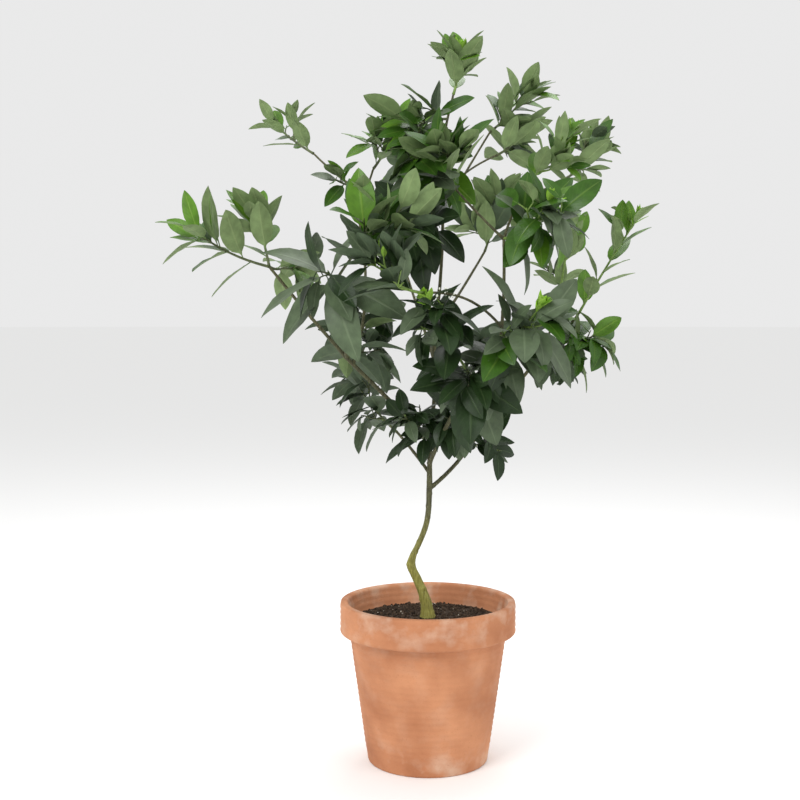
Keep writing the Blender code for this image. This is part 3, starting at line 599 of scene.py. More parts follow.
# Carrier, place on it, tip and bow of the stem of each mass
STEMS = {
    "mass_low_left": ("bough_low_left", 1.0, (-117, 125, 353), (-6, 0, -3)),
    "mass_left_tip": ("bough_left_outer", 1.0, (-318, -115, 550), (-5, 2, -6)),
    "mass_left_upright": ("bough_left_outer", 1.0, (-238, -45, 569), (1, 3, 1)),
    "mass_left_knee": ("bough_left_outer", 1.0, (-183, -25, 513), (-1, -3, -9)),
    "mass_left_fork": ("bough_left_lower", 1.0, (-90, 50, 439), (4, 0, -8)),
    "mass_front_left_whorl": ("bough_front_left", 1.0, (-133, -155, 490), (0, 0, -3)),
    "mass_front_left_tip": ("bough_front_left", 1.0, (-37, -190, 566), (-11, -5, -4)),
    "mass_upper_left_knee": ("bough_upper_left", 1.0, (-133, 20, 625), (3, 2, -3)),
    "mass_upper_left_tip": ("bough_upper_left_outer", 1.0, (-234, 135, 723), (0, 0, -3)),
    "mass_upper_left_inner": ("bough_upper_left_inner", 1.0, (-44, 0, 697), (1, 3, -3)),
    "mass_crown_top": ("trunk", 738, (43, -10, 793), (2, 1, -1)),
    "mass_leader_left": ("trunk", 705, (-30, -55, 682), (0, 0, 4)),
    "mass_leader_upper": ("trunk", 635, (-19, -80, 642), (0, 1, 0)),
    "mass_leader_mid": ("trunk", 545, (-39, -100, 559), (0, 0, 4)),
    "mass_crossing_tip": ("bough_crossing", 1.0, (8, -112, 648), (1, 0, -1)),
    "mass_top_right_tip": ("bough_top_right", 1.0, (152, 130, 765), (2, 0, -2)),
    "mass_top_right_inner": ("bough_top_right_inner", 1.0, (143, 115, 702), (2, 0, -2)),
    "mass_right_top_tip": ("bough_right_top", 1.0, (193, -70, 674), (-4, -2, -2)),
    "mass_right_shoulder": ("bough_right_shoulder", 1.0, (244, 20, 669), (2, 2, -3)),
    "mass_right_inner": ("bough_front_right_upper", 1.0, (148, -180, 575), (6, -5, -7)),
    "mass_front_spray_tip": ("bough_front_spray", 1.0, (-60, -235, 506), (-12, -3, -9)),
    "mass_front_whorl": ("bough_front_right", 1.0, (50, -185, 358), (0, 0, -4)),
    "mass_front_flush_left": ("bough_front_right", 1.0, (-7, -210, 447), (-5, -5, 7)),
    "mass_front_flush_right": ("bough_front_right_mid", 1.0, (132, -215, 440), (-2, -3, -4)),
    "mass_right_low": ("bough_right_mid", 1.0, (212, 125, 355), (-1, -2, 6)),
    "mass_right_spray": ("bough_right_mid", 1.0, (241, 30, 404), (2, 5, -3)),
    "mass_right_tip": ("bough_right_outer", 1.0, (298, 30, 569), (-5, 0, -6)),
    "mass_right_upright": ("bough_right_upright", 1.0, (204, 155, 491), (1, 0, -3)),
    "mass_right_upright_tip": ("bough_right_upright", 1.0, (221, 165, 578), (1, -3, 1)),
    "mass_low_right": ("bough_right_lower", 1.0, (92, -15, 258), (-1, 2, 0)),
    "mass_inner_low_left": ("trunk", 245, (-35, -60, 297), (3, 0, -4)),
    "mass_inner_low_right": ("trunk", 281, (55, -55, 296), (-1, 3, -3)),
    "mass_back_left": ("bough_back_left", 1.0, (-54, 230, 593), (1, 0, -4)),
    "mass_back_right": ("bough_back_right", 1.0, (119, 230, 616), (0, 0, -4)),
    "mass_back_low": ("trunk", 333, (102, 140, 393), (-3, -1, -6)),
}

# %% The leaves' kinds and how each mass is leafed
# Leaf length, width share, spacing, opening at the foot and the tip, lift and bend
KINDS = {
    "mature": (0.070, 0.38, 0.015, math.radians(74), math.radians(44), -0.30, math.radians(38)),
    "broad": (0.084, 0.36, 0.013, math.radians(84), math.radians(66), -0.16, math.radians(26)),
    "young": (0.056, 0.36, 0.014, math.radians(58), math.radians(26), 0.16, math.radians(20)),
}

# Kind, size, bare share, leaves on the stem, twigs, twig length, tuft leaves and seed
LEAFING = {
    "mass_low_left": ("mature", 0.94, 0.10, 12, 3, 35, 0, 6),
    "mass_left_tip": ("young", 1.38, 0.16, 9, 1, 40, 0, 11),
    "mass_left_upright": ("young", 1.38, 0.14, 9, 1, 35, 0, 8),
    "mass_left_knee": ("mature", 1.03, 0.20, 5, 1, 35, 0, 7),
    "mass_left_fork": ("mature", 1.01, 0.10, 12, 3, 45, 0, 18),
    "mass_front_left_whorl": ("broad", 1.38, 0.15, 7, 0, 0, 0, 5),
    "mass_front_left_tip": ("young", 1.42, 0.30, 12, 3, 45, 0, 11),
    "mass_upper_left_knee": ("young", 0.92, 0.15, 6, 0, 0, 0, 9),
    "mass_upper_left_tip": ("young", 1.01, 0.08, 9, 1, 35, 0, 16),
    "mass_upper_left_inner": ("young", 1.21, 0.08, 10, 2, 35, 0, 8),
    "mass_crown_top": ("young", 1.06, 0.06, 9, 1, 30, 6, 14),
    "mass_leader_left": ("young", 1.32, 0.20, 12, 3, 35, 0, 10),
    "mass_leader_upper": ("mature", 1.10, 0.20, 9, 1, 40, 0, 9),
    "mass_leader_mid": ("mature", 1.26, 0.20, 12, 3, 50, 0, 13),
    "mass_crossing_tip": ("young", 1.42, 0.10, 9, 1, 35, 0, 2),
    "mass_top_right_tip": ("young", 1.15, 0.10, 12, 3, 30, 0, 5),
    "mass_top_right_inner": ("young", 1.15, 0.08, 10, 2, 35, 0, 9),
    "mass_right_top_tip": ("young", 1.05, 0.08, 10, 2, 35, 4, 3),
    "mass_right_shoulder": ("young", 1.10, 0.08, 9, 1, 35, 0, 13),
    "mass_right_inner": ("mature", 1.12, 0.16, 12, 3, 40, 4, 16),
    "mass_front_spray_tip": ("young", 1.23, 0.10, 12, 3, 30, 5, 14),
    "mass_front_whorl": ("mature", 1.31, 0.15, 9, 0, 0, 0, 17),
    "mass_front_flush_left": ("mature", 1.03, 0.20, 12, 3, 35, 6, 12),
    "mass_front_flush_right": ("mature", 1.31, 0.08, 10, 2, 35, 6, 8),
    "mass_right_low": ("mature", 0.81, 0.15, 7, 0, 0, 0, 16),
    "mass_right_spray": ("mature", 1.00, 0.30, 10, 2, 35, 0, 6),
    "mass_right_tip": ("young", 1.19, 0.06, 10, 0, 0, 6, 3),
    "mass_right_upright": ("young", 0.92, 0.15, 8, 1, 35, 0, 2),
    "mass_right_upright_tip": ("young", 1.09, 0.55, 9, 1, 45, 4, 8),
    "mass_low_right": ("mature", 0.88, 0.20, 5, 1, 35, 0, 2),
    "mass_inner_low_left": ("mature", 0.87, 0.25, 9, 1, 35, 0, 18),
    "mass_inner_low_right": ("mature", 0.95, 0.25, 9, 1, 35, 0, 7),
    "mass_back_left": ("young", 1.35, 0.06, 9, 1, 50, 0, 11),
    "mass_back_right": ("young", 1.42, 0.06, 12, 3, 50, 0, 20),
    "mass_back_low": ("mature", 1.23, 0.25, 9, 1, 50, 0, 12),
}

# %% [markdown]
# Limbs could be drawn as curves by hand. Here each one is a formula, because all that sits on a limb, its
# leaves, scars and smaller limbs, asks it for a point, a radius and a direction at some place along it.

# %% Shoots and trunk


def unit(vectors):
    """The same directions with a length of one, for the last axis of an array."""
    return vectors / np.linalg.norm(vectors, axis=-1, keepdims=True)


def lifted(place):
    """A place in millimetres above the soil, in metres above the pot's underside."""
    return np.array(place) / 1000 + UP * SOIL_LEVEL


class Shoot:
    """A bowed line: start + (tip - start) s + 4 s (1 - s) bow, for shares s from nought to one."""

    def __init__(self, start, tip, bow, radii):
        self.start = start
        self.tip = tip
        self.bow = bow
        self.radii = radii
        self.length = float(np.linalg.norm(tip - start))
        self.reference = np.zeros(3)
        self.reference[np.argmin(np.abs(tip - start))] = 1.0

    def point(self, share):
        share = np.asarray(share, float)[..., None]
        return self.start + (self.tip - self.start) * share + self.bow * (4 * share * (1 - share))

    def radius(self, share):
        return self.radii[0] + (self.radii[1] - self.radii[0]) * np.asarray(share, float)

    def frame(self, share):
        """The direction at each share and two unit vectors square to it."""
        share = np.asarray(share, float)[..., None]
        tangent = unit(self.tip - self.start + self.bow * (4 - 8 * share))
        side = unit(np.cross(tangent, self.reference))
        return tangent, side, np.cross(tangent, side)

    def end_ring(self, sides):
        """The corners at the tip of the shoot's own solid."""
        _, side, other = self.frame(1.0)
        turn = np.arange(sides)[:, None] * (2 * math.pi / sides)
        return self.tip + (np.cos(turn) * side + np.sin(turn) * other) * self.radii[1]


class Trunk:
    """A cubic through the bends: each row is blended from the two nearest bends and their slopes."""

    def __init__(self):
        bends = np.array(TRUNK_BENDS) / 1000.0
        self.heights = bends[:, 0]
        self.rows = bends[:, 1:]
        self.slopes = np.gradient(self.rows, self.heights, axis=0)

    def row(self, height):
        """Sideways, backwards and radius at heights above the soil."""
        height = np.asarray(height, float)
        top = len(self.heights) - 2
        at = np.clip(np.searchsorted(self.heights, height, side="right") - 1, 0, top)
        span = np.asarray(self.heights[at + 1] - self.heights[at])[..., None]
        t = np.asarray(height - self.heights[at])[..., None] / span
        low_share = (1 + 2 * t) * (1 - t) ** 2
        rise = self.slopes[at] * span * t * (1 - t) ** 2
        fall = self.slopes[at + 1] * span * t * t * (1 - t)
        return self.rows[at] * low_share + self.rows[at + 1] * (1 - low_share) + rise - fall

    def point(self, height):
        row = self.row(height)
        return np.stack([row[..., 0], row[..., 1], SOIL_LEVEL + np.asarray(height, float)], axis=-1)


def shoot_from(limbs, carrier, place, tip, bow, radii):
    if carrier == "trunk":
        place = place / 1000
    return Shoot(limbs[carrier].point(place), lifted(tip), np.array(bow) / 1000, radii)


limbs = {"trunk": Trunk()}
for name, (carrier, place, tip, bow, base_radius, tip_radius) in BOUGHS.items():
    limbs[name] = shoot_from(limbs, carrier, place, tip, bow, (base_radius / 1000, tip_radius / 1000))
stems = {name: shoot_from(limbs, *row, STEM_RADII) for name, row in STEMS.items()}
print("boughs", len(limbs) - 1, "stems", len(stems))

# %% [markdown]
# A leaf starts at its shoot's middle line, leaves it in one direction, faces another and bends back on an
# arc. For each place on a shoot the rule offers a few candidates. Which of them was taken can be read from
# the mass's solid: the point of a leaf that grew is a corner there.

# %% Leaves by the rule


class Leaf:
    """A root, the direction it leaves in, the way its upper side faces, and its length, width and bend."""

    def __init__(self, root, along, face, length, width, bend):
        self.root = root
        self.along = along
        self.face = face
        self.length = length
        self.width = width
        self.bend = bend

    def point(self, share):
        """A point of the midrib, on an arc that turns by the bend from root to point."""
        angle = self.bend * share
        forward = math.sin(angle) / self.bend
        back = (1 - math.cos(angle)) / self.bend
        return self.root + (self.along * forward - self.face * back) * self.length


def chance_for(*numbers):
    """A random source of its own for each try at a twig or leaf."""
    key = 0
    for number in numbers:
        key = key * 1000 + number
    return random.Random(key)


def stray(chance, spread):
    return chance.uniform(-spread, spread)


def twig_tries(name, stem, number):
    """The candidates for one twig of a mass, each turned on round the stem from the one before."""
    _, _, bare, _, count, reach, _, seed = LEAFING[name]
    share = bare + (0.85 - bare) * (number + 0.5) / count
    for attempt in range(TRIES):
        chance = chance_for(1, seed, number, attempt)
        turn = seed + number * GOLDEN_TURN + attempt * TWIG_TURN_STEP + stray(chance, TURN_SPREAD)
        length = reach / 1000 * (1.1 - 0.3 * share) * chance.uniform(0.85, 1.15)
        tangent, side, other = stem.frame(share)
        out = side * math.cos(turn) + other * math.sin(turn)
        along = unit(tangent * math.cos(TWIG_OPENING) + out * math.sin(TWIG_OPENING) + UP * 0.25)
        start = stem.point(share)
        yield Shoot(start, start + along * length, UP * -0.05 * length, TWIG_RADII)


def leaf_tries(name, shoot, shoot_number, bare, number, count, scale=1.0):
    """The candidates for one leaf of a shoot, spiralling up it by the golden turn."""
    kind, size, seed = LEAFING[name][0], LEAFING[name][1], LEAFING[name][-1]
    length, width_share, _, open_foot, open_tip, lift, bend = KINDS[kind]
    share = bare + (1.0 - bare) * (number + 0.4) / count
    fullness = 0.72 + 0.28 * math.sin(math.pi * min(1.0, 0.25 + 0.75 * share))
    for attempt in range(TRIES):
        chance = chance_for(2, seed, shoot_number, number, attempt)
        turn = seed * 1.7 + number * GOLDEN_TURN + attempt * LEAF_TURN_STEP + stray(chance, TURN_SPREAD)
        opening = open_foot + (open_tip - open_foot) * share + stray(chance, OPENING_SPREAD)
        tangent, side, other = shoot.frame(share)
        out = side * math.cos(turn) + other * math.sin(turn)
        pull = UP * (lift + stray(chance, LIFT_SPREAD))
        along = unit(tangent * math.cos(opening) + out * math.sin(opening) + pull)
        long = length * size * scale * fullness * chance.uniform(*LENGTH_RANGE)
        wide = long * width_share * chance.uniform(*WIDTH_RANGE)
        roll = stray(chance, ROLL_SPREAD)
        curl = bend * chance.uniform(*BEND_RANGE)
        yield make_leaf(shoot.point(share), along, tangent, out, roll, long, wide, curl)


def make_leaf(root, along, tangent, out, roll, long, wide, bend):
    """A leaf whose upper side looks to the light and to its shoot's tip, rolled about its midrib."""
    light = UP + tangent * TIP_PULL - out * SPREAD_PULL
    face = unit(light - along * light.dot(along))
    side = np.cross(face, along)
    face = face * math.cos(roll) + side * math.sin(roll)
    return Leaf(root, along, face, long, wide, bend)


def tuft_tries(name, shoot, number, count, scale=1.0):
    """The candidates for one small leaf of the tuft at a stem's tip."""
    seed = LEAFING[name][-1]
    share = 1.0 - FLUSH_FOOT * (1 - number / count)
    for attempt in range(TRIES):
        chance = chance_for(3, seed, number, attempt)
        turn = number * GOLDEN_TURN + attempt * LEAF_TURN_STEP + stray(chance, TURN_SPREAD)
        opening = FLUSH_OPENING[1] + (FLUSH_OPENING[0] - FLUSH_OPENING[1]) * number / count
        tangent, side, other = shoot.frame(share)
        out = side * math.cos(turn) + other * math.sin(turn)
        along = unit(tangent * math.cos(opening) + out * math.sin(opening) + UP * 0.2)
        long = FLUSH_LENGTH * scale * chance.uniform(*FLUSH_RANGE)
        wide = long * FLUSH_WIDTH_SHARE
        roll = stray(chance, ROLL_SPREAD)
        yield make_leaf(shoot.point(share), along, tangent, out, roll, long, wide, FLUSH_BEND)


# %% [markdown]
# The rule could place new leaves anywhere, but the dressed tree should be the tree of the solids. So the
# point of each candidate is looked up among the corners of its mass, and only a match is taken.

# %% Reading which twigs and leaves grew
SAME_PLACE = 0.00005


def corners_of(name):
    """A search tree over the corners of a solid."""
    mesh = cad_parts[name].data
    corners = KDTree(len(mesh.vertices))
    for number, vertex in enumerate(mesh.vertices):
        corners.insert(vertex.co, number)
    corners.balance()
    return corners


def first_grown(tries, corners, marks):
    """The first candidate with a mark that is a corner of the solid, or None where none grew."""
    for tried in tries:
        if any(corners.find(Vector(mark))[2] < SAME_PLACE for mark in marks(tried)):
            return tried
    return None


def twig_marks(twig):
    return twig.end_ring(TWIG_SIDES)


def leaf_marks(leaf):
    return [leaf.point(1.0)]


def read_mass(name, stem):
    """The twigs, the leaves and the tuft leaves of a mass, in the order in which they grew."""
    kind, _, bare, on_stem, twig_count, _, tuft, _ = LEAFING[name]
    corners = corners_of(name)
    twigs, leaves, flush = [], [], []
    for number in range(twig_count):
        twig = first_grown(twig_tries(name, stem, number), corners, twig_marks)
        if twig is not None:
            twigs.append((number + 1, twig))
    shoots = [(0, stem, bare, on_stem)]
    for number, twig in twigs:
        count = max(2, round(twig.length * (1 - TWIG_BARE) / KINDS[kind][2]))
        shoots.append((number, twig, TWIG_BARE, count))
    for shoot_number, shoot, shoot_bare, count in shoots:
        for number in range(count):
            tries = leaf_tries(name, shoot, shoot_number, shoot_bare, number, count)
            leaves.append(first_grown(tries, corners, leaf_marks))
    for number in range(tuft):
        flush.append(first_grown(tuft_tries(name, stem, number, tuft), corners, leaf_marks))
    return twigs, [leaf for leaf in leaves if leaf], [leaf for leaf in flush if leaf]


masses = {name: read_mass(name, stem) for name, stem in stems.items()}
for at, label in enumerate(("twigs", "leaves", "tuft leaves")):
    print(label, sum(len(grown[at]) for grown in masses.values()))

# %% [markdown]
# The solids carry the large leaves only. A real shoot also has short spurs with a few small leaves between
# them, and its young tufts are denser. They are grown here by the same rule, at a smaller scale, and one
# that would pass the bounds of its mass is left out. Inner masses are fuller than the outer tips.

# %% Spurs and fuller tufts
SPUR_LENGTH = (0.012, 0.022)
SPUR_RADII = (0.0010, 0.0007)
SPUR_LEAVES = 3
SPUR_SCALE = (0.62, 0.95)
SPUR_OPENING = math.radians(55)
SPUR_PLACES = (0.35, 0.92)
SPUR_BARE = 0.3
FIRST_SPUR = 20
TUFT_SCALE = 0.80
TUFT_FULLNESS = 3
FIRST_MORE = 40
SPARSE_SPURS = 2
DENSE_SPURS = 8
SPARSE = (
    "mass_left_tip", "mass_left_upright", "mass_left_knee", "mass_upper_left_tip", "mass_upper_left_knee",
    "mass_top_right_tip", "mass_right_tip", "mass_low_right", "mass_front_left_whorl", "mass_right_upright",
)


def inside(leaf, low, high):
    """Whether the middle and the point of a leaf lie within a box."""
    places = np.array([leaf.point(0.5), leaf.point(1.0)])
    return bool(np.all(places > low) and np.all(places < high))


def grow_spurs(name, stem, twigs):
    """Short side shoots with small leaves, spread over the stem and the twigs of a mass."""
    low, high = (np.array(corner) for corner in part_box(name))
    count = SPARSE_SPURS if name in SPARSE else DENSE_SPURS
    shoots = [stem] + [twig for _, twig in twigs]
    spurs, small = [], []
    for number in range(count):
        shoot = shoots[number % len(shoots)]
        chance = chance_for(4, LEAFING[name][-1], number)
        share = chance.uniform(*SPUR_PLACES)
        tangent, side, other = shoot.frame(share)
        turn = number * GOLDEN_TURN + chance.uniform(0, 2 * math.pi)
        out = side * math.cos(turn) + other * math.sin(turn)
        along = unit(tangent * math.cos(SPUR_OPENING) + out * math.sin(SPUR_OPENING) + UP * 0.2)
        length = chance.uniform(*SPUR_LENGTH)
        start = shoot.point(share)
        spur = Shoot(start, start + along * length, UP * 0.05 * length, SPUR_RADII)
        scale = chance.uniform(*SPUR_SCALE)
        offered = [
            next(leaf_tries(name, spur, FIRST_SPUR + number, SPUR_BARE, at, SPUR_LEAVES, scale))
            for at in range(SPUR_LEAVES)
        ]
        kept = [leaf for leaf in offered if inside(leaf, low, high)]
        if kept:
            spurs.append(spur)
            small += kept
    return spurs, small


finer = {name: grow_spurs(name, stem, masses[name][0]) for name, stem in stems.items()}
tufts = {}
for name, stem in stems.items():
    end = FIRST_MORE + LEAFING[name][6] * TUFT_FULLNESS
    offered = [tuft_tries(name, stem, number, end, TUFT_SCALE) for number in range(FIRST_MORE, end)]
    tufts[name] = [next(tries) for tries in offered]
for at, label in enumerate(("spurs", "small leaves")):
    print(label, sum(len(grown[at]) for grown in finer.values()))
print("more tuft leaves", sum(len(tuft) for tuft in tufts.values()))

# %% [markdown]
# Bark on a young citrus is thin: olive green at the foot, darker above, with fine cracks along the limb,
# low ridges and a slight swelling at each old leaf scar. Each limb is a tube whose radius carries that
# relief, and each bough swells where it leaves its carrier and starts inside it, so that no gap shows.

# %% Limb skins
LIMB_STEP = 0.0016
SCAR_SPACING = 0.017
SCAR_WIDTH = 0.0016
BARK_ROUGHNESS = 0.8
COLLAR_LENGTH = 0.006
TIP_CLOSING = 0.55


def limb_skin(centre, side, other, radius, distance, sides, seed, roughness):
    """Rings of radius (1 + ridges + cracks + scars) about a line of centres.

    Ridges are slow waves round and along, cracks are quick waves round that drift along the limb, and each
    scar is a bell-shaped swelling on one side, a golden turn on from the last one."""
    chance = np.random.default_rng(seed)
    turn = np.arange(sides)[None] * (2 * math.pi / sides)
    s = distance[:, None]
    phase = chance.uniform(0, 2 * math.pi, 6)
    ridges = 0.045 * np.sin(3 * turn + 60 * s + phase[0]) + 0.035 * np.sin(2 * turn - 95 * s + phase[1])
    drift = 3 * np.sin(180 * s + phase[2])
    cracks = 0.022 * np.sin(9 * turn + drift) * np.sin(420 * s + 2 * turn + phase[3])
    scar = np.floor(s / SCAR_SPACING)
    off = (s - (scar + 0.5) * SCAR_SPACING) / SCAR_WIDTH
    facing = np.clip(np.cos(turn - scar * GOLDEN_TURN - phase[4]), 0.0, 1.0)
    scars = 0.16 * np.exp(-off * off) * facing ** 2 + 0.035 * np.exp(-off * off)
    grown = radius[:, None] * (1 + roughness * (ridges + cracks + scars))
    spokes = np.cos(turn)[..., None] * side[:, None] + np.sin(turn)[..., None] * other[:, None]
    return centre[:, None] + spokes * grown[..., None]


def shoot_skin(shoot, sides, seed, step, roughness, collar):
    """The skin of a shoot from its carrier's middle line to its tip.

    Its radius gains a collar * exp(-distance / collar length) at the foot, and its last ring closes in."""
    rows = max(6, int(shoot.length / step))
    share = np.linspace(0.0, 1.0, rows)
    _, side, other = shoot.frame(share)
    distance = share * shoot.length
    radius = shoot.radius(share) * (1 + collar * np.exp(-distance / COLLAR_LENGTH))
    radius[-1] *= TIP_CLOSING
    return limb_skin(shoot.point(share), side, other, radius, distance, sides, seed, roughness)


def join_skins(skins):
    """All skins as one list of points and one list of faces."""
    points, faces, start = [], [], 0
    for skin in skins:
        rows, sides = skin.shape[:2]
        points.append(skin.reshape(-1, 3))
        faces += skin_faces(rows, sides, start=start)
        start += rows * sides
    return np.concatenate(points), faces


# %% [markdown]
# Young bark changes with height: olive and streaked at the foot, grey brown above, with pale dots where it
# breathes. Noise stretched along Z gives the streaks, so that no picture is needed.

# %% Bark finish
BARK_FOOT = (0.190, 0.175, 0.032)
BARK_FOOT_LIGHT = (0.34, 0.325, 0.080)
BARK_ABOVE = (0.050, 0.048, 0.022)
BARK_ABOVE_LIGHT = (0.115, 0.115, 0.052)
BARK_DOTS = (0.40, 0.38, 0.24)
FOOT_ENDS = 0.36
FOOT_STARTS_TO_FADE = 0.27

bark, tree, shader = new_finish("young_bark", 0.72, gloss=0.35)
where = place_on_object(tree)
height = add(tree, "SeparateXYZ", {"Vector": where}).outputs[2]
streaks = fade(tree, noise(tree, place_on_object(tree, (1.0, 1.0, 0.16)), 420.0, 5.0), 0.36, 0.66)
foot_colour = mixed(tree, streaks, BARK_FOOT, BARK_FOOT_LIGHT)
above_colour = mixed(tree, streaks, BARK_ABOVE, BARK_ABOVE_LIGHT)
wander = maths(tree, "MULTIPLY_ADD", noise(tree, where, 30.0, 3.0), 0.08, -0.04)
above = fade(tree, maths(tree, "ADD", height, wander), FOOT_STARTS_TO_FADE, FOOT_ENDS)
colour = mixed(tree, above, foot_colour, above_colour)
dots = fade(tree, noise(tree, where, 700.0, 1.0), 0.66, 0.72)
colour = mixed(tree, maths(tree, "MULTIPLY", dots, 0.5), colour, BARK_DOTS)
tree.links.new(colour, shader.inputs["Base Color"])
fine = relief(tree, shader, streaks, 0.0005)
relief(tree, shader, noise(tree, where, 900.0, 4.0), 0.0003, fine)

# %% [markdown]
# The trunk is a skin on level rings, so that it meets the soil flat. All boughs are joined into a second
# piece with the same bark, since one object for each would only make more pieces.

# %% Trunk and boughs
TRUNK_SIDES = 36
TRUNK_SINKS = 0.001
BOUGH_SIDES = 16
BOUGH_COLLAR = 0.4

trunk = limbs["trunk"]
heights = np.arange(0.0, trunk.heights[-1], LIMB_STEP)
row = trunk.row(heights)
level_x = np.tile((1.0, 0.0, 0.0), (len(heights), 1))
level_y = np.tile((0.0, 1.0, 0.0), (len(heights), 1))
root_flare = 1 + 0.10 * np.exp(-heights / 0.010)
centres = trunk.point(heights)
centres[0] -= UP * TRUNK_SINKS
radii = row[:, 2] * root_flare
trunk_skin = limb_skin(centres, level_x, level_y, radii, heights, TRUNK_SIDES, 3, BARK_ROUGHNESS)
points, faces = join_skins([trunk_skin])
make_piece("bark_trunk", points, faces, [bark], ["trunk"])

bough_skins = [
    shoot_skin(limbs[name], BOUGH_SIDES, 20 + number, LIMB_STEP, BARK_ROUGHNESS, BOUGH_COLLAR)
    for number, name in enumerate(BOUGHS)
]
points, faces = join_skins(bough_skins)
make_piece("bark_boughs", points, faces, [bark], list(BOUGHS))

# %% [markdown]
# The shoots that carry the leaves are this year's wood: smooth, angular and green, browner on older masses.
# The youngest tips are bright green. They are the same tubes with less relief, finer and joined into one
# piece for each colour.

# %% Green shoots
FRESH = (
    "mass_crown_top", "mass_right_tip", "mass_right_top_tip", "mass_right_inner", "mass_front_flush_left",
    "mass_front_flush_right", "mass_front_spray_tip", "mass_right_upright_tip",
)
RIND_ROUGHNESS = 0.5
STEM_SIDES = 10
STEM_STEP = 0.003
STEM_COLLAR = 0.15
SHOOT_SIDES = 7
SHOOT_STEP = 0.004
SHOOT_COLLAR = 0.25


def shoot_finish(name, dark, light):
    """Green rind with faint stripes along it."""
    finish, tree, shader = new_finish(name, 0.5, gloss=0.45)
    stripes = noise(tree, place_on_object(tree, (1.0, 1.0, 0.3)), 500.0, 3.0)
    tree.links.new(mixed(tree, fade(tree, stripes, 0.35, 0.65), dark, light), shader.inputs["Base Color"])
    relief(tree, shader, stripes, 0.0002)
    return finish


old_green = shoot_finish("green_rind", (0.052, 0.066, 0.024), (0.105, 0.130, 0.045))
new_green = shoot_finish("fresh_rind", (0.115, 0.190, 0.035), (0.190, 0.300, 0.060))


def mass_skins(name):
    """The skins of a mass's stem and of its twigs and spurs."""
    twigs = [twig for _, twig in masses[name][0]] + finer[name][0]
    seed = LEAFING[name][-1]
    skins = [shoot_skin(stems[name], STEM_SIDES, seed, STEM_STEP, RIND_ROUGHNESS, STEM_COLLAR)]
    for at, twig in enumerate(twigs):
        skins.append(shoot_skin(twig, SHOOT_SIDES, seed + at, SHOOT_STEP, RIND_ROUGHNESS, SHOOT_COLLAR))
    return skins


for piece_name, names, finish in (
    ("green_shoots", [name for name in STEMS if name not in FRESH], old_green),
    ("fresh_shoots", list(FRESH), new_green),
):
    points, faces = join_skins([skin for name in names for skin in mass_skins(name)])
    make_piece(piece_name, points, faces, [finish], names)

# %% [markdown]
# A citrus leaf is a leathery blade, widest below its middle, with a pointed tip, a grooved midrib above, a
# raised rib below, a gently waved margin and a short round stalk. Each one here is a closed skin of twelve
# rings of eight points: round at the stalk, flat in the blade. All leaves of a colour are computed together
# as one array and joined into one piece, with an upper and an under finish.

# %% Leaf skins
LEAF_ROWS = np.array([0.0, 0.07, 0.12, 0.20, 0.31, 0.44, 0.58, 0.71, 0.82, 0.91, 0.97, 1.0])
LEAF_SIDES = 8
STALK_RADIUS = 0.0008
STALK_SHARE = 0.09
FOOT_POWER = 0.72
TIP_POWER = 0.90
BREADTH = 1.12
RIM_ANGLE = math.radians(70)
BLADE_THICKNESS = 0.00035
RIB_DEPTH = 0.0009
GROOVE_DEPTH = 0.00035
FOLD = 0.20
FOLD_RANGE = (0.4, 1.5)
WAVE = 0.045
WAVES_ALONG = 13
BLEND_START = 0.06
BLEND_SPAN = 0.14


def blade_half_width(share):
    """x^foot (1 - x)^tip, from nought at the stalk's end to one at its widest and nought at the tip."""
    x = np.clip((share - STALK_SHARE) / (1 - STALK_SHARE), 0.0, 1.0)
    widest = FOOT_POWER / (FOOT_POWER + TIP_POWER)
    highest = widest ** FOOT_POWER * (1 - widest) ** TIP_POWER
    return x ** FOOT_POWER * (1 - x) ** TIP_POWER / highest


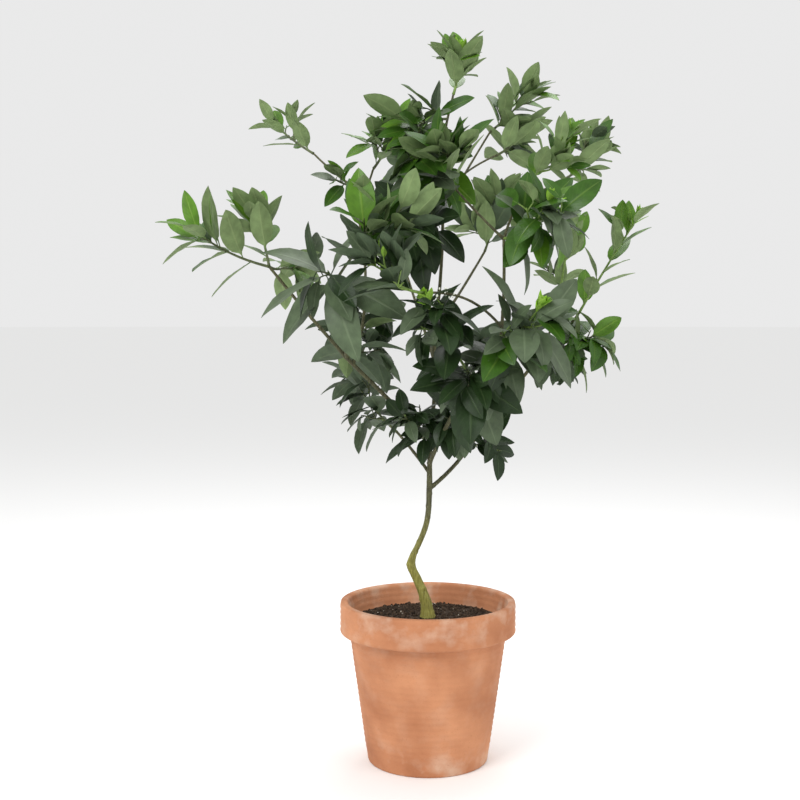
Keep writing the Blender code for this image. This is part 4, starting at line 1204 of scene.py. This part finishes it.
def leaf_skins(leaves, seed):
    """Rings of eight points along each leaf's arc, as one array of leaves, rows, sides and places.

    Across the blade a point lies at t half widths from the midrib. It rises by fold * |t|^1.4 half widths,
    the margin waves along the leaf, the upper side sinks into a groove and the under side hangs in a rib.
    In the stalk the same eight points stand on a circle; a smooth share blends the two forms."""
    chance = np.random.default_rng(seed)
    root, along, face, length, width, bend = (
        np.array([getattr(leaf, part) for leaf in leaves])
        for part in ("root", "along", "face", "length", "width", "bend")
    )
    side = np.cross(face, along)
    share = LEAF_ROWS
    angle = bend[:, None] * share
    forward = (np.sin(angle) / bend[:, None] * length[:, None])[..., None]
    back = ((1 - np.cos(angle)) / bend[:, None] * length[:, None])[..., None]
    centre = root[:, None] + along[:, None] * forward - face[:, None] * back
    normal = face[:, None] * np.cos(angle)[..., None] + along[:, None] * np.sin(angle)[..., None]
    t = np.array([-1.0, -0.5, 0.0, 0.5, 1.0, 0.5, 0.0, -0.5])
    upper = np.array([0.0, 1.0, 1.0, 1.0, 0.0, -1.0, -1.0, -1.0])
    half = 0.5 * BREADTH * width[:, None] * blade_half_width(share)
    fold = FOLD * chance.uniform(*FOLD_RANGE, len(leaves))[:, None, None]
    phase = chance.uniform(0, 2 * math.pi, (2, len(leaves)))[:, :, None, None]
    half_phase = np.where(t > 0, phase[0], phase[1])
    waves = WAVE * np.sin(WAVES_ALONG * share[None, :, None] + half_phase) * np.abs(t) ** 2
    rise = half[..., None] * (fold * np.abs(t) ** 1.4 + waves)
    at_rib = (np.abs(t) < 0.1).astype(float)
    tapering = (1 - 0.75 * share)[None, :, None]
    thick = upper * BLADE_THICKNESS / 2 - at_rib * (upper > 0) * GROOVE_DEPTH * tapering
    thick = thick - at_rib * (upper < 0) * RIB_DEPTH * tapering
    blade_side = half[..., None] * t
    blade_up = rise + thick
    stalk_turn = math.pi - np.arange(LEAF_SIDES) * (math.pi / 4)
    stalk_side = STALK_RADIUS * np.cos(stalk_turn)
    stalk_up = STALK_RADIUS * np.sin(stalk_turn)
    blend = np.clip((share - BLEND_START) / BLEND_SPAN, 0.0, 1.0)
    blend = (blend * blend * (3 - 2 * blend))[None, :, None]
    across = blade_side * blend + stalk_side * (1 - blend)
    lift = blade_up * blend + stalk_up * (1 - blend)
    sideways = side[:, None, None] * across[..., None]
    upward = normal[:, :, None] * lift[..., None]
    points = centre[:, :, None] + sideways + upward
    uv = np.stack(np.broadcast_arrays(share[:, None], (t[None] + 1) / 2), axis=-1)
    return points, np.broadcast_to(uv, (len(leaves),) + uv.shape)


def make_leaves(name, leaves, finishes, seed, nodes):
    """A piece of joined leaves: the first finish above and the second one below.

    The quads below start at their next corner, so that both sides fold along the same diagonals."""
    points, uv = leaf_skins(leaves, seed)
    rows = len(LEAF_ROWS)
    quads = ring_faces(rows, LEAF_SIDES, len(leaves))[:, ::-1]
    column = np.tile(np.arange(LEAF_SIDES), (rows - 1) * len(leaves))
    below = column > 3
    quads[below] = np.roll(quads[below], 1, axis=1)
    caps = cap_faces(rows, LEAF_SIDES, len(leaves))[:, ::-1]
    piece = make_piece(name, points, quads.tolist() + caps.tolist(), finishes, nodes)
    under = np.concatenate([below.astype(np.int32), np.ones(len(caps), np.int32)])
    piece.data.polygons.foreach_set("material_index", under)
    corner = np.empty(len(piece.data.loops), np.int32)
    piece.data.loops.foreach_get("vertex_index", corner)
    piece.data.set_sharp_from_angle(angle=RIM_ANGLE)
    layer = piece.data.uv_layers.new(name="blade")
    layer.data.foreach_set("uv", uv.reshape(-1, 2)[corner].astype(np.float32).ravel())


# %% [markdown]
# The leaves' colours follow their age, and one of them paints light. Old inner leaves are dark; the large
# ones in front are paler and greyer, a painted sheen of the pale sky on their gloss; those on the outer
# shoots are a clear mid green, and the newest tufts are almost yellow green. Each is a plain green with
# faint mottling; a paler midrib and slanting side veins follow the blade.

# %% Leaf finishes
VEIN_SHARE = 0.42


def leaf_finish(name, green, vein, roughness, coat):
    """A green blade: mottled by noise, with veins drawn from the blade's own length and width."""
    finish, tree, shader = new_finish(name, roughness, gloss=0.24, coat=coat, coat_roughness=0.28)
    where = place_on_object(tree)
    blade = add(tree, "SeparateXYZ", {"Vector": add(tree, "UVMap", uv_map="blade").outputs[0]})
    along, across = blade.outputs[0], blade.outputs[1]
    away = maths(tree, "ABSOLUTE", maths(tree, "SUBTRACT", across, 0.5))
    rib = fade(tree, away, 0.055, 0.015)
    forward = maths(tree, "MULTIPLY", along, 10.0)
    slant = maths(tree, "SUBTRACT", forward, maths(tree, "MULTIPLY", away, 5.0))
    side_vein = fade(tree, maths(tree, "PINGPONG", slant, 0.5), 0.10, 0.0)
    veins = maths(tree, "MAXIMUM", rib, maths(tree, "MULTIPLY", side_vein, 0.22))
    mottle = fade(tree, noise(tree, where, 75.0, 4.0), 0.32, 0.70)
    dark = tuple(channel * 0.78 for channel in green)
    light = tuple(min(1.0, channel * 1.18) for channel in green)
    colour = mixed(tree, mottle, dark, light)
    colour = mixed(tree, maths(tree, "MULTIPLY", veins, VEIN_SHARE), colour, vein)
    tree.links.new(colour, shader.inputs["Base Color"])
    pebbled = relief(tree, shader, noise(tree, where, 900.0, 2.0), 0.00010)
    relief(tree, shader, veins, 0.00030, pebbled)
    return finish


UNDERSIDE = leaf_finish("leaf_underside", (0.190, 0.270, 0.110), (0.29, 0.37, 0.16), 0.60, 0.0)
UNDERSIDE_DARK = leaf_finish("leaf_underside_dark", (0.075, 0.110, 0.060), (0.13, 0.18, 0.09), 0.60, 0.0)
UNDERSIDE_FRESH = leaf_finish("leaf_underside_fresh", (0.260, 0.460, 0.060), (0.38, 0.55, 0.12), 0.55, 0.0)
GREENS = {
    "deep": ((0.015, 0.034, 0.009), (0.060, 0.100, 0.035), 0.38, 0.08, UNDERSIDE_DARK),
    "grey_sheen": ((0.080, 0.115, 0.060), (0.16, 0.21, 0.12), 0.46, 0.05, UNDERSIDE_DARK),
    # This paler grey green is painted sheen: the pale sky reflected on the gloss of the large front leaves.
    "green": ((0.034, 0.096, 0.008), (0.12, 0.21, 0.03), 0.36, 0.08, UNDERSIDE),
    "clear": ((0.080, 0.190, 0.012), (0.20, 0.33, 0.04), 0.36, 0.06, UNDERSIDE),
    "flush": ((0.270, 0.540, 0.022), (0.42, 0.68, 0.08), 0.36, 0.06, UNDERSIDE_FRESH),
}
COLOURS = list(GREENS)

# %% [markdown]
# On a real tree neighbouring leaves differ a little. Each mass has a home colour that most of its leaves
# take, and the rest take the next darker or lighter one, dealt by a seeded chance.

# %% Dealing the colours out by mass
HOME_COLOUR = {
    "deep": ("mass_low_left", "mass_leader_mid", "mass_front_whorl", "mass_right_low", "mass_low_right",
             "mass_inner_low_left", "mass_inner_low_right", "mass_back_low", "mass_back_left",
             "mass_front_flush_left", "mass_front_spray_tip"),
    # These large front leaves take the paler grey green of painted sheen.
    "grey_sheen": ("mass_left_fork", "mass_front_left_whorl", "mass_front_flush_right"),
    "green": ("mass_left_knee", "mass_upper_left_knee", "mass_front_left_tip", "mass_leader_upper",
              "mass_crossing_tip", "mass_right_inner", "mass_right_spray", "mass_back_right",
              "mass_right_upright", "mass_right_shoulder", "mass_leader_left", "mass_top_right_inner"),
    "clear": ("mass_left_tip", "mass_left_upright", "mass_upper_left_tip", "mass_upper_left_inner",
              "mass_crown_top", "mass_top_right_tip", "mass_right_top_tip", "mass_right_tip",
              "mass_right_upright_tip"),
}
STAYS_HOME = 0.62
LIGHTEST = len(HOME_COLOUR) - 1


def colour_of(home, chance):
    """Most leaves have their mass's colour, the rest the next darker or lighter one."""
    at = COLOURS.index(home)
    if chance.random() < STAYS_HOME:
        return home
    return COLOURS[max(0, min(LIGHTEST, at + chance.choice((-1, 1))))]


dealt = {colour: [] for colour in COLOURS}
holders = {colour: set() for colour in COLOURS}
for home, names in HOME_COLOUR.items():
    for name in names:
        chance = chance_for(5, LEAFING[name][-1])
        for leaf in masses[name][1] + finer[name][1]:
            colour = colour_of(home, chance)
            dealt[colour].append(leaf)
            holders[colour].add(name)
        if masses[name][2]:
            dealt["flush"] += masses[name][2] + tufts[name]
            holders["flush"].add(name)

for number, (colour, (green, vein, roughness, coat, underside)) in enumerate(GREENS.items()):
    upper = leaf_finish("leaf_" + colour, green, vein, roughness, coat)
    make_leaves("leaves_" + colour, dealt[colour], [upper, underside], 50 + number, sorted(holders[colour]))

# %% [markdown]
# Where a leaf's stalk meets the shoot sits a small green bud, and a few tight white flower buds stand in
# clusters near the middle of the crown. Both are one small egg shape, copied along arrays of places.

# %% Buds
EGG_ROWS = 5
EGG_SIDES = 6
BUD_SIZES = (0.0006, 0.0010)
BUD_OFFSET = 0.0009
FLOWER_SIZES = (0.0011, 0.0017)
FLOWER_OFFSETS = (0.002, 0.0045)
FLOWER_SPREAD = 0.04
FLOWER_CLUSTERS = (
    ("mass_right_inner", 0.45, 6),
    ("mass_right_inner", 0.62, 3),
    ("bough_front_spray", 0.72, 6),
    ("bough_front_spray", 0.82, 3),
    ("mass_front_whorl", 0.6, 2),
)


def eggs(places, directions, sizes):
    """Small egg shapes: rings of radius sin(angle) at height 1.5 (1 - cos(angle)) along each direction."""
    angle = np.linspace(0.06 * math.pi, 0.94 * math.pi, EGG_ROWS)[:, None]
    turn = np.arange(EGG_SIDES)[None] * (2 * math.pi / EGG_SIDES)
    reference = np.where(np.abs(directions[:, 2:]) < 0.8, (0.0, 0.0, 1.0), (1.0, 0.0, 0.0))
    side = unit(np.cross(directions, reference))
    other = np.cross(directions, side)
    spokes = side[:, None, None] * (np.sin(angle) * np.cos(turn))[..., None]
    spokes = spokes + other[:, None, None] * (np.sin(angle) * np.sin(turn))[..., None]
    rise = directions[:, None, None] * (1.5 * (1 - np.cos(angle)) + 0 * turn)[..., None]
    points = places[:, None, None] + (spokes + rise) * sizes[:, None, None, None]
    return points, skin_faces(EGG_ROWS, EGG_SIDES, len(places))


all_leaves = [leaf for name in STEMS for leaf in masses[name][1]]
bud_chance = np.random.default_rng(7)
root = np.array([leaf.root for leaf in all_leaves])
direction = unit(np.array([leaf.along + leaf.face for leaf in all_leaves]))
size = bud_chance.uniform(*BUD_SIZES, len(all_leaves))
points, faces = eggs(root + direction * BUD_OFFSET, direction, size)
make_piece("axil_buds", points, faces, [new_green])

places, directions = [], []
for number, (carrier, share, count) in enumerate(FLOWER_CLUSTERS):
    shoot = stems.get(carrier) or limbs[carrier]
    for at in range(count):
        chance = chance_for(6, number, at)
        tangent, side, other = shoot.frame(share + stray(chance, FLOWER_SPREAD))
        turn = at * GOLDEN_TURN + number
        out = unit(side * math.cos(turn) + other * math.sin(turn) + UP * 0.4 - np.array([0.0, 0.5, 0.0]))
        foot = shoot.point(share + stray(chance, FLOWER_SPREAD))
        places.append(foot + out * chance.uniform(*FLOWER_OFFSETS))
        directions.append(out)
flower_white, tree, shader = new_finish("flower_bud_white", 0.45, gloss=0.4)
where = place_on_object(tree)
petals = mixed(tree, noise(tree, where, 300.0, 2.0), (0.72, 0.76, 0.60), (0.90, 0.91, 0.84))
tree.links.new(petals, shader.inputs["Base Color"])
sizes = np.array([chance_for(7, at).uniform(*FLOWER_SIZES) for at in range(len(places))])
points, faces = eggs(np.array(places), np.array(directions), sizes)
make_piece("flower_buds", points, faces, [flower_white])

# %% [markdown]
# Last comes the measure: the box of the solids and the box of what shows, printed side by side.

# %% Sizes and finish
shown_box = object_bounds()
boxes = {"cad": solid_box, "visual": shown_box}
{key: [list(corner) for corner in box] for key, box in boxes.items()}
print("solids", [round(v, 3) for corner in solid_box for v in corner])
print("shown ", [round(v, 3) for corner in shown_box for v in corner])
